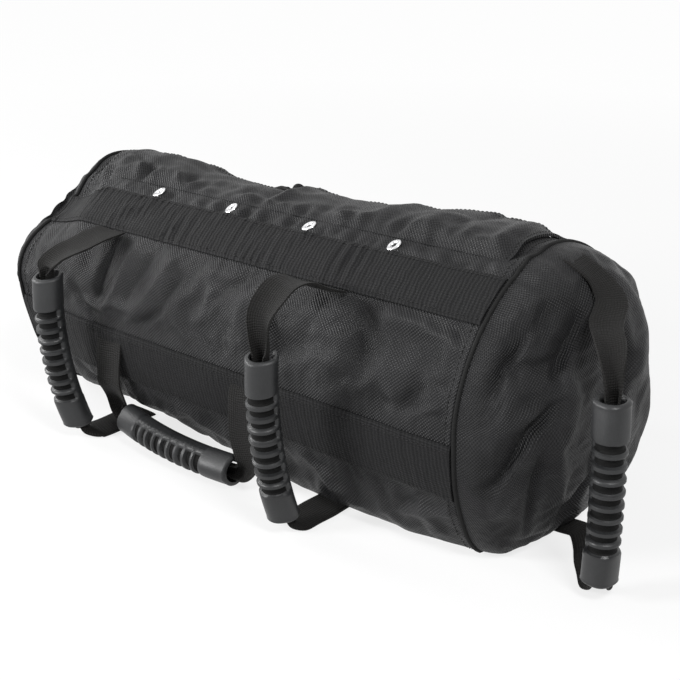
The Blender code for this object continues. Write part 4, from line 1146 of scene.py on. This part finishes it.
def row_tree(name, sizes, finish, one_piece):
    """A tree that sets a piece at even steps along lines; one_piece gives its mesh, turn and scale."""
    tree = bpy.data.node_groups.new(name, "GeometryNodeTree")
    for in_out in ("OUTPUT", "INPUT"):
        tree.interface.new_socket("Geometry", in_out=in_out, socket_type="NodeSocketGeometry")
    for label, value in sizes.items():
        socket = tree.interface.new_socket(label, in_out="INPUT", socket_type="NodeSocketFloat")
        socket.default_value = value
    socket = tree.interface.new_socket("Finish", in_out="INPUT", socket_type="NodeSocketMaterial")
    socket.default_value = finish
    nodes = Nodes(tree)
    given = nodes.add("NodeGroupInput").outputs
    curve = nodes.add("GeometryNodeMeshToCurve", {"Mesh": given["Geometry"]}).outputs["Curve"]
    spaced = nodes.add("GeometryNodeResampleCurve", {"Curve": curve, "Length": given["Pitch"]}, mode="LENGTH")
    laid = nodes.add(
        "GeometryNodeInstanceOnPoints",
        {"Points": spaced.outputs["Curve"], **one_piece(nodes, given)}).outputs["Instances"]
    real = nodes.add("GeometryNodeRealizeInstances", {"Geometry": laid}).outputs["Geometry"]
    dyed = nodes.add("GeometryNodeSetMaterial", {"Geometry": real, "Material": given["Finish"]}).outputs[0]
    nodes.add("NodeGroupOutput", {"Geometry": dyed})
    return tree


def one_stitch(nodes, given):
    """A ball stretched to a stitch's length and turned along the line."""
    ball = nodes.add("GeometryNodeMeshIcoSphere", {"Radius": 1.0, "Subdivisions": 1}).outputs["Mesh"]
    half, radius = nodes.maths("MULTIPLY", given["Stitch length"], 0.5), given["Thread radius"]
    size = nodes.add("ShaderNodeCombineXYZ", {"X": half, "Y": radius, "Z": radius}).outputs["Vector"]
    along = nodes.add("GeometryNodeInputTangent").outputs["Tangent"]
    turn = nodes.add("FunctionNodeAlignRotationToVector", {"Vector": along}, axis="X").outputs["Rotation"]
    return {"Instance": ball, "Rotation": turn, "Scale": size}


STITCH_TREE = row_tree(
    "stitch_row", {"Pitch": STITCH_PITCH, "Stitch length": 0.003, "Thread radius": 0.00042},
    THREAD, one_stitch)


def made_by_nodes(name, lines, tree, inputs, body):
    """Runs a tree on polylines and keeps its result as a plain mesh on one body."""
    verts, edges = [], []
    for line in lines:
        edges += [(len(verts) + k, len(verts) + k + 1) for k in range(len(line) - 1)]
        verts += list(line)
    made = new_object(name, verts, edges, [])
    modifier = made.modifiers.new(name, "NODES")
    modifier.node_group = tree
    for socket in tree.interface.items_tree:
        if socket.in_out == "INPUT" and socket.name in inputs:
            modifier[socket.identifier] = inputs[socket.name]
    result = keep_result(made)
    result.shade_smooth()
    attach(made, body)
    print(name, "faces", len(result.polygons))
    return made


STITCH_INSET = 0.0035
STITCH_LIFT = 0.0001


def line_on_flap(x, turn):
    """A line on the flap's upper side; x or turn may be one number."""
    x, turn = np.broadcast_arrays(x, turn)
    return on_bag(x, turn, flap_lift(x, turn) + flap_thickness(x, turn) + STITCH_LIFT)


along_bag = np.linspace(-TUBE_END + 0.004, TUBE_END - 0.004, 240)
from_middle = STRIP_HALF_TURN - turn_of(STITCH_INSET)
strip_top = GAP + STRIP_THICKNESS + STITCH_LIFT
bag_rows = [
    on_bag(along_bag, middle + edge * from_middle, strip_top)
    for middle in STRIPS.values() for edge in (-1, 1)]
bag_rows += [on_bag(side * (TUBE_END - 0.006), np.linspace(-70.0, 250.0, 260), 0.0002) for side in (-1, 1)]
made_by_nodes("bag_stitches", bag_rows, STITCH_TREE, {"Pitch": STITCH_PITCH}, "bag")

flap_side = FLAP_LENGTH / 2 - STITCH_INSET
inset_turn = turn_of(STITCH_INSET)
flap_turns = np.linspace(FLAP_TURN + inset_turn, FLAP_END_TURN - inset_turn, 60)
flap_rows = [
    line_on_flap(np.linspace(-flap_side, flap_side, 220), FLAP_END_TURN - share * inset_turn)
    for share in (1, 2.6)]
flap_rows += [line_on_flap(side * flap_side, flap_turns) for side in (-1, 1)]
made_by_nodes("flap_stitches", flap_rows, STITCH_TREE, {"Pitch": STITCH_PITCH}, "flap")

# %% [markdown]
# Under the flap is a moulded zip. Its two tapes sag with the top of the bag. Its teeth are set along
# them by a second tree of the same kind, which places one small block at each point.

# %% Zip tapes and teeth
TAPE_DROP = 0.0046
TOOTH_REACH = 0.0022
TOOTH_SPINE = 0.0012
TOOTH_HEIGHT = 0.0026
TAPE_WIDTH = 0.014
TAPE_CLOTH = 0.0008
TOOTH_PITCH = 0.0028


def zip_line(x, y, z):
    """A place on the zip: a straight slanting line that sags with the top of the bag."""
    x = np.asarray(x, float)
    sag = np.interp(x / MM, SLACK_PLACES, SLACK_TOP) * MM
    level = CENTRE_HEIGHT + TOP_RISE + TOP_SLOPE * x - TAPE_DROP + sag
    return np.stack(np.broadcast_arrays(x, y, level + z), axis=-1)


def one_tooth(nodes, given):
    """A block of a tooth's size."""
    size = nodes.add("ShaderNodeCombineXYZ", {
        "X": given["Tooth width"], "Y": given["Tooth reach"], "Z": given["Tooth height"]}).outputs["Vector"]
    return {"Instance": nodes.add("GeometryNodeMeshCube", {
        "Size": size, "Vertices X": 3, "Vertices Y": 3, "Vertices Z": 2}).outputs["Mesh"]}


TOOTH_TREE = row_tree(
    "zip_teeth",
    {"Pitch": TOOTH_PITCH, "Tooth width": 0.0016, "Tooth reach": 0.0048, "Tooth height": 0.0024},
    ZIP_PLASTIC, one_tooth)
zip_half = ZIP_LENGTH / 2 - 0.006
for face, side in (("front", -1), ("back", 1)):
    x = np.linspace(-ZIP_LENGTH / 2, ZIP_LENGTH / 2, 150)
    near_edge = side * (TOOTH_REACH / 2 + TOOTH_SPINE + GAP)
    grid_x, grid_y = np.meshgrid(x, np.linspace(near_edge, near_edge + side * TAPE_WIDTH, 8), indexing="ij")
    top_side, under_side = (zip_line(grid_x, grid_y, level) for level in (0.0, -TAPE_CLOTH))
    tape = slab(f"{face}_zip_tape", top_side, under_side, WEBBING, "webbing")
    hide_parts(f"zip_tape_{face}")
    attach(tape, "bag")
    shift = TOOTH_PITCH / 2 if side > 0 else 0.0
    spine_x = np.linspace(-zip_half + shift, zip_half + shift, 150)
    spine = zip_line(spine_x, side * TOOTH_REACH / 2, TOOTH_HEIGHT / 2 - TAPE_CLOTH / 2)
    row = made_by_nodes(f"{face}_zip_teeth", [spine], TOOTH_TREE, {"Pitch": TOOTH_PITCH}, "bag")
    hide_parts(f"zip_teeth_{face}")

for node in ("zip_slider", "zip_pull", "zip_end_stop", "zip_top_stop"):
    frame["nodes"][node].data.materials.clear()
    frame["nodes"][node].data.materials.append(DARK_NICKEL)
print("zip dressed")

# %% [markdown]
# The grips are the part a hand closes on: a slit rubber tube that bows outwards, with smooth collars at
# both ends and deep grooves across its outer side. The slit lets it be pushed over the folded strap. Its
# surface follows a rule in height and angle, so it is made as a grid, and all eight share that rule.

# %% Moulded grips
GRIP_LENGTH = 0.145
COLLAR_RADIUS = 0.0134
GRIP_RADIUS = 0.0129
BORE_RADIUS = 0.0090
SLIT_WIDTH = 0.006
GRIP_BOW = 0.008
COLLAR_LENGTH = 0.027
GROOVES = 9
GROOVE_DEPTH = 0.0030
GROOVED_HALF_TURN = 112.0
BEAD_HEIGHT = 0.0006
BEAD_PITCH = 0.0052
COLLAR_SWELL = 0.00045
END_RING = 0.0005
EDGE_ROUNDING = 0.0012
GRIP_ROWS = 150
GRIP_COLUMNS = 56


def bow_at(z):
    """How far outwards a grip bows at a height."""
    return GRIP_BOW * (1.0 - (2 * z / GRIP_LENGTH) ** 2)


def groove_share(z):
    """1 in the grooves and 0 on the ribs between them."""
    span = GRIP_LENGTH - 2 * COLLAR_LENGTH
    at = (z + span / 2) / span * GROOVES
    inside = (at > 0) & (at < GROOVES)
    wave = np.abs((at % 1.0) - 0.5) * 2
    return np.where(inside, smooth_step(wave, 0.72, 0.48), 0.0)


def grip_grid(spin):
    """Outer and bore grids of a grip that bows towards X, and where its grooves get painted shade.

    The grooves and their painted shade are turned by spin degrees.
    """
    ends = GRIP_LENGTH / 2
    z = np.linspace(-ends, ends, GRIP_ROWS)
    outer_slit = math.asin(SLIT_WIDTH / 2 / COLLAR_RADIUS)
    angle = np.linspace(outer_slit - math.pi, math.pi - outer_slit, GRIP_COLUMNS)
    z, angle = np.meshgrid(z, angle, indexing="ij")
    collar = smooth_step(np.abs(z), ends - COLLAR_LENGTH - 0.002, ends - COLLAR_LENGTH + 0.001)
    radius = GRIP_RADIUS + (COLLAR_RADIUS - GRIP_RADIUS) * collar
    round_it = np.abs((np.degrees(angle) - spin + 180.0) % 360.0 - 180.0)
    grooved = smooth_step(round_it, GROOVED_HALF_TURN, GROOVED_HALF_TURN - 16)
    radius = radius - GROOVE_DEPTH * groove_share(z) * grooved
    bead = np.exp(-((round_it - GROOVED_HALF_TURN - 12) / 6.0) ** 2) * (1 - collar)
    radius = radius + BEAD_HEIGHT * bead * (0.6 + 0.4 * np.sin(z * 2 * math.pi / BEAD_PITCH))
    end_ring = np.exp(-((np.abs(z) - ends + 0.0015) / 0.0011) ** 2)
    radius = radius + COLLAR_SWELL * collar * np.cos(angle * 4) + END_RING * end_ring
    lip = smooth_step(np.abs(z), ends - 0.003, ends)
    slit_edge = smooth_step(np.abs(angle), math.pi - outer_slit - 0.22, math.pi - outer_slit)
    radius = radius - EDGE_ROUNDING * lip ** 2 - EDGE_ROUNDING * slit_edge ** 2
    bore_slit = math.asin(SLIT_WIDTH / 2 / BORE_RADIUS)
    bore_angle = angle * (math.pi - bore_slit) / (math.pi - outer_slit)
    bore_radius = BORE_RADIUS + EDGE_ROUNDING * lip ** 2
    outer, bore = (
        np.stack([bow_at(z) + far * np.cos(turned_by), far * np.sin(turned_by), z], axis=-1)
        for far, turned_by in ((radius, angle), (bore_radius, bore_angle)))
    return outer, bore, groove_share(z) * grooved > 0.35


def make_grip(name, placed, spin=0.0):
    """A grip placed by a matrix, with a darker copy of its rubber as painted shade in its grooves."""
    matrix = np.array(placed)
    outer, bore, dark = grip_grid(spin)
    grids = [grid @ matrix[:3, :3].T + matrix[:3, 3] for grid in (outer, bore)]
    made = slab(name, *grids, [GRIP_RUBBER, GROOVE_SHADE_RUBBER], "grip_rubber")
    # Faces deep in the grooves get the darker rubber, as painted shade
    groove_shade_faces = dark[:-1, :-1] & dark[1:, 1:]
    indices = np.zeros(len(made.data.polygons), dtype=int)
    indices[:groove_shade_faces.size] = groove_shade_faces.ravel()
    made.data.polygons.foreach_set("material_index", indices)
    return made


print("grip points", GRIP_ROWS * GRIP_COLUMNS)

# %% [markdown]
# A strap is a flat band that rolls into a narrow C where it passes through a grip. Along the way its
# curl changes, and it gathers a little where it curls. Its edges waver, as worn webbing does. Its middle
# line is a smooth curve through a few places.

# %% Straps
STRAP_THICKNESS = 0.0022
STRAP_WIDTH = 0.033
END_STRAP_WIDTH = 0.025
STRAP_COLUMNS = 14


def smooth_path(stations, steps=6):
    """A smooth curve through rows of numbers that start with a place; close places don't overshoot."""
    rows = np.array(stations, float)
    spans = np.sqrt(np.linalg.norm(np.diff(rows[:, :3], axis=0), axis=1))
    steady = np.diff(rows, axis=0) / spans[:, None]
    slopes = [steady[0]]
    for k in range(1, len(spans)):
        before = spans[k] / (spans[k - 1] + spans[k])
        slopes.append(steady[k - 1] * before + steady[k] * (1 - before))
    slopes.append(steady[-1])
    made = []
    for k, span in enumerate(spans):
        for t in np.arange(steps) / steps:
            late = 3 * t ** 2 - 2 * t ** 3
            made.append(rows[k] * (1 - late) + rows[k + 1] * late
                        + (slopes[k] * (t - 2 * t ** 2 + t ** 3) + slopes[k + 1] * (t ** 3 - t ** 2)) * span)
    made.append(rows[-1])
    return np.array(made)


def strap(name, stations, width):
    """A band through stations of place, across direction and curl in degrees; it gathers where it curls."""
    path = smooth_path(stations)
    centre, across, curl = path[:, :3], path[:, 3:6], np.radians(np.maximum(path[:, 6], 2.0))
    steps = np.concatenate([[0.0], np.cumsum(np.linalg.norm(np.diff(centre, axis=0), axis=1))])
    wavy = 1 + 0.035 * np.sin(steps / 0.0075) * np.sin(steps / 0.019 + 1.0)
    width = width * wavy * (1 - 0.22 * smooth_step(curl, 0.1, 1.4))
    along = np.gradient(centre, axis=0)
    along /= np.linalg.norm(along, axis=1, keepdims=True)
    across = across - along * np.sum(across * along, axis=1, keepdims=True)
    across /= np.linalg.norm(across, axis=1, keepdims=True)
    face = np.cross(across, along)
    u = np.linspace(-1, 1, STRAP_COLUMNS)
    radius = (width / 2) / curl
    angle = curl[:, None] * u[None, :]
    thick = STRAP_THICKNESS / 2 * (0.6 + 0.4 * smooth_step(1 - np.abs(u), 0.0, 0.18))
    grids = []
    for way in (1, -1):
        reach = radius[:, None] + way * thick[None, :]
        sideways = reach * np.sin(angle)
        outwards = reach * np.cos(angle) - (radius * (1 + np.cos(curl)) / 2)[:, None]
        grid = centre[:, None] + across[:, None] * sideways[..., None] + face[:, None] * outwards[..., None]
        lowest = FLOOR_CLEARANCE + (0.0 if way * face[0, 2] < 0 else STRAP_THICKNESS * 0.3)
        grid[..., 2] = np.maximum(grid[..., 2], lowest)
        grids.append(grid)
    return slab(name, *grids, STRAP_WEBBING, "webbing")


print("strap helpers ready")

# %% [markdown]
# Six handles stand on end round the bag. Each strap leaves from under a strip or a seam, arches out,
# drops through its grip and runs back along the floor under the bag.

# %% Standing handles
GRIP_CLEARANCE = 0.014
SIDE_REACH = (0.038, 0.060)
NEAR_REACH = (0.027, 0.047)
END_REACH = 0.094
FLOOR_LEVEL = 0.0016
GRIP_CURL = 118.0
TWIST_SPAN = (-0.012, 0.042)  # reaches between which a strap turns from the bag's way to its grip's
# Each handle: swing at rest, way out of the bag, reaches of the grip's ends, rises of the arch in mm
STANDING = {
    "front_left": (-103.0, -90.0, NEAR_REACH, (-2, -6, -9, -13, -20)),
    "front_right": (-90.0, -90.0, SIDE_REACH, (7, 17, 17, 10, -3)),
    "back_left": (100.0, 90.0, SIDE_REACH, (-6, -15, -20, -22, -26)),
    "back_right": (82.0, 90.0, SIDE_REACH, (-4, -11, -15, -17, -22)),
    "right_end": (-52.0, 0.0, (END_REACH, END_REACH), ()),
    "left_end": (105.0, 180.0, (END_REACH, END_REACH), ()),
}
ARCH_PLACES = ((0.0, 10), (0.35, 14), (0.6, 20), (0.8, 32), (1.0, 55))
# An end strap's reach, its drop as a share of the whole drop to the grip, and its curl
END_ARCH = (
    (-0.030, 0.10, 4), (-0.014, 0.18, 5), (0.0, 0.29, 8), (0.018, 0.42, 12), (0.043, 0.53, 20),
    (0.068, 0.6, 34), (0.085, 0.72, 56))


def way_at(degrees):
    """A level direction, in degrees round from the bag's right."""
    heading = math.radians(degrees)
    return Vector((math.cos(heading), math.sin(heading), 0))


def standing_path(name, axis, top_level):
    """Stations of a strap from its upper seam to its lower one, its grip's matrix, and its middle way."""
    rest, out, (low, high), rises = STANDING[name]
    way_round = (rest - out + 180.0) % 360.0 - 180.0
    lean = math.atan2(high - low, GRIP_LENGTH)
    middle = Vector(((low + high) / 2, 0, GRIP_CLEARANCE + GRIP_LENGTH / 2 * math.cos(lean)))
    placed = Matrix.Translation(middle) @ Matrix.Rotation(lean, 4, "Y")
    top = placed @ Vector((0, 0, GRIP_LENGTH / 2))
    bottom = placed @ Vector((0, 0, -GRIP_LENGTH / 2))
    if name.endswith("end"):
        stations = [(reach, top_level - share * (top_level - top.z), curl) for reach, share, curl in END_ARCH]
        stations.append((top.x, top.z + 0.008, 100))
    else:
        stations = [(-0.020, top_level - 0.001, 8)]
        for (share, curl), rise in zip(ARCH_PLACES, rises):
            stations.append((share * high, top_level + rise * MM, curl))
        stations.append((top.x, top.z + 0.004, 100))
    for share in (1.0, 0.6, 0.2, -0.2, -0.6, -1.0):
        point = placed @ Vector((bow_at(share * GRIP_LENGTH / 2), 0, share * GRIP_LENGTH / 2))
        stations.append((point.x, point.z, GRIP_CURL))
    stations += [(bottom.x - 0.002, bottom.z - 0.006, 80), (bottom.x - 0.012, FLOOR_LEVEL + 0.001, 20)]
    stations += [(bottom.x * 0.5, FLOOR_LEVEL, 5)]
    stations += [(reach, FLOOR_LEVEL, 4) for reach in (0.0, -0.020, -0.046)]
    foot = Vector((axis[0], axis[1], 0))
    made = []
    for reach, z, curl in stations:
        direction = way_at(out + way_round * smooth_step(reach, *TWIST_SPAN))
        place = foot + direction * reach
        made.append([place.x, place.y, z, -direction.y, direction.x, 0, curl])
    grip_place = Matrix.Translation(foot) @ Matrix.Rotation(math.radians(rest), 4, "Z") @ placed
    return made, grip_place, way_at(out + way_round / 2)


for name in STANDING:
    axis = JOINTS[f"{name}_swing"]["pos_m"]
    top_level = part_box(f"{name}_upper_root")[1][2] + 0.0005
    stations, placed, direction = standing_path(name, axis, top_level)
    grip = make_grip(f"{name}_rubber_grip", placed)
    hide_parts(f"{name}_grip")
    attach(grip, f"{name}_handle")
    width = END_STRAP_WIDTH if name.endswith("end") else STRAP_WIDTH
    band = strap(f"{name}_webbing", stations, width)
    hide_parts(f"{name}_strap", f"{name}_upper_root", f"{name}_lower_root")
    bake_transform(band)
print("standing handles", len(STANDING))

# %% [markdown]
# Two more handles lie along the bag, in front and behind. Their straps are sewn on the lower strip, hang
# down and enter the grip from both ends. They swing up about the line of their two seams.

# %% Lengthwise handles
LONG_ROOTS = (-0.121, 0.040)
# The grip's two ends: along the bag, out from it and up from the swing's axis
LONG_GRIP_ENDS = ((-0.111, 0.013, -0.060), (0.028, 0.001, -0.061))
LONG_WIDTH = 0.029
LONG_BEND_RADIUS = 0.012
LONG_SPIN = 55.0  # degrees, so that the grooves face outwards and down
# How a strap hangs from its seam: up from the axis, in towards the bag, and curl
LONG_HANG = ((0.017, 0.0035, 5), (0.004, 0.001, 5), (-0.010, 0.0, 12), (-0.024, 0.0, 12))


def long_path(axis, side):
    """Stations of a lengthwise strap and the matrix of its grip."""
    centre = Vector((0, axis[1], axis[2]))
    first, second = (centre + Vector((x, side * -y, z)) for x, y, z in LONG_GRIP_ENDS)
    along = (second - first).normalized()
    out = Vector((0, side, 0))
    out = (out - along * out.dot(along)).normalized()
    turn = Matrix((out, along.cross(out), along)).transposed().to_4x4()
    placed = Matrix.Translation((first + second) / 2) @ turn
    inside = []
    for share in (-1.04, -0.7, -0.3, 0.3, 0.7, 1.04):
        point = placed @ Vector((bow_at(share * GRIP_LENGTH / 2), 0, share * GRIP_LENGTH / 2))
        inside.append([*point, 0, 0, 1, GRIP_CURL - 8])
    arms = []
    for x, end, way in ((LONG_ROOTS[0], inside[0][:3], -1), (LONG_ROOTS[1], inside[-1][:3], 1)):
        end = Vector(end)
        arm = []
        for up, into, curl in LONG_HANG:
            arm.append([x, centre.y - side * into, centre.z + up, -way, 0, 0, curl])
        for degrees, curl in ((90, 40), (60, 70), (30, 95)):
            turned_by = math.radians(degrees)
            bent = along * way * math.sin(turned_by) + Vector((0, 0, 1)) * (1 - math.cos(turned_by))
            sideways = Vector((0, 0, 1)) * math.cos(turned_by) + Vector((-way, 0, 0)) * math.sin(turned_by)
            arm.append([*(end + bent * LONG_BEND_RADIUS), *sideways, curl])
        arms.append(arm)
    return arms[0] + inside + arms[1][::-1], placed


for face, side in (("front", -1), ("back", 1)):
    name = f"{face}_long"
    axis = JOINTS[f"{name}_swing"]["pos_m"]
    stations, placed = long_path(axis, side)
    grip = make_grip(f"{name}_rubber_grip", placed, -LONG_SPIN * side)
    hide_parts(f"{name}_grip")
    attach(grip, f"{name}_handle")
    band = strap(f"{name}_webbing", stations, LONG_WIDTH)
    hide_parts(f"{name}_strap", f"{name}_left_root", f"{name}_right_root")
    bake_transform(band)
print("lengthwise handles ready")

# %% [markdown]
# The picture has a white floor with a soft shadow. The strongest lamp stands in front on the left, with
# a high one on the right, a weaker one on the left and a faint one above. Large lamps give soft edges.
# What the camera sees of the floor and the backdrop, directly or in metal, is mostly their own light, so
# they stay white without more light on the bag. Near the bag the floor keeps more of its shadow.

# %% Floor, lamps and background


FLOOR_SIZE = 6.0
FLOOR_GREY = 0.86
# From and to this distance in metres, the share of its own light in what is seen of the floor rises
OWN_LIGHT_FROM, OWN_LIGHT_TO = (0.45, 0.78), (1.5, 0.97)
SKY_GLOW = 0.25
LAMPS_AIM = Vector((0, 0, 0.1))
# Each lamp: place, size in metres and power in watts
LAMPS = {
    "top_lamp": ((-0.9, 0.3, 1.6), 1.0, 2.5),
    "front_lamp": ((-1.1, -1.9, 0.95), 0.6, 52),
    "left_lamp": ((-1.8, -0.5, 0.9), 0.6, 20),
    "right_lamp": ((1.3, -0.7, 1.6), 0.45, 26),
}


def floor_material():
    """A pale floor that takes a shadow, mixed with light of its own where the camera sees it."""
    material, nodes, shader = new_material(
        "pale_floor", Base_Color=(FLOOR_GREY, FLOOR_GREY, FLOOR_GREY, 1), Roughness=0.9,
        Specular_IOR_Level=0.1)
    own = nodes.add("ShaderNodeEmission", {"Color": (1, 1, 1, 1), "Strength": 1.0}).outputs[0]
    away = nodes.add("ShaderNodeVectorMath", {0: nodes.place()}, operation="LENGTH").outputs["Value"]
    own_share = nodes.span(away, OWN_LIGHT_FROM[0], OWN_LIGHT_TO[0], OWN_LIGHT_FROM[1], OWN_LIGHT_TO[1])
    share = nodes.maths("MULTIPLY", nodes.seen(), own_share)
    mix = nodes.add("ShaderNodeMixShader", {0: share, 1: shader.outputs[0], 2: own})
    nodes.tree.links.new(mix.outputs[0], nodes.tree.nodes["Material Output"].inputs["Surface"])
    return material


corners = [(x * FLOOR_SIZE, y * FLOOR_SIZE, 0) for x, y in ((-1, -1), (1, -1), (1, 1), (-1, 1))]
floor = new_object("floor", corners, [], [(0, 1, 2, 3)])
floor.data.materials.append(floor_material())
floor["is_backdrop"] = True

world = bpy.data.worlds.new("studio")
scene.world = world
world.use_nodes = True
sky = Nodes(world.node_tree)
backdrop = world.node_tree.nodes["Background"]
backdrop.inputs["Color"].default_value = (1, 1, 1, 1)
world.node_tree.links.new(sky.span(sky.seen(), 0.0, 1.0, SKY_GLOW, 1.0), backdrop.inputs["Strength"])

for name, (place, size, power) in LAMPS.items():
    lamp = bpy.data.objects.new(name, bpy.data.lights.new(name, "AREA"))
    lamp.data.size = size
    lamp.data.energy = power
    lamp.location = place
    lamp.rotation_euler = (LAMPS_AIM - Vector(place)).to_track_quat("-Z", "Y").to_euler()
    scene.collection.objects.link(lamp)
scene.view_settings.view_transform = "Standard"
print("lamps", len(LAMPS), "of", sum(power for _, _, power in LAMPS.values()), "watts together")

# %% [markdown]
# Last, the dressed object's box is kept beside the solid model's box, so that the two can be compared.

# %% Sizes
dressed_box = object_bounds()
for low, high, label in zip((cad_box[0], dressed_box[0]), (cad_box[1], dressed_box[1]), ("solid", "dressed")):
    print(label, "box mm", [round(v / MM) for v in low], [round(v / MM) for v in high])
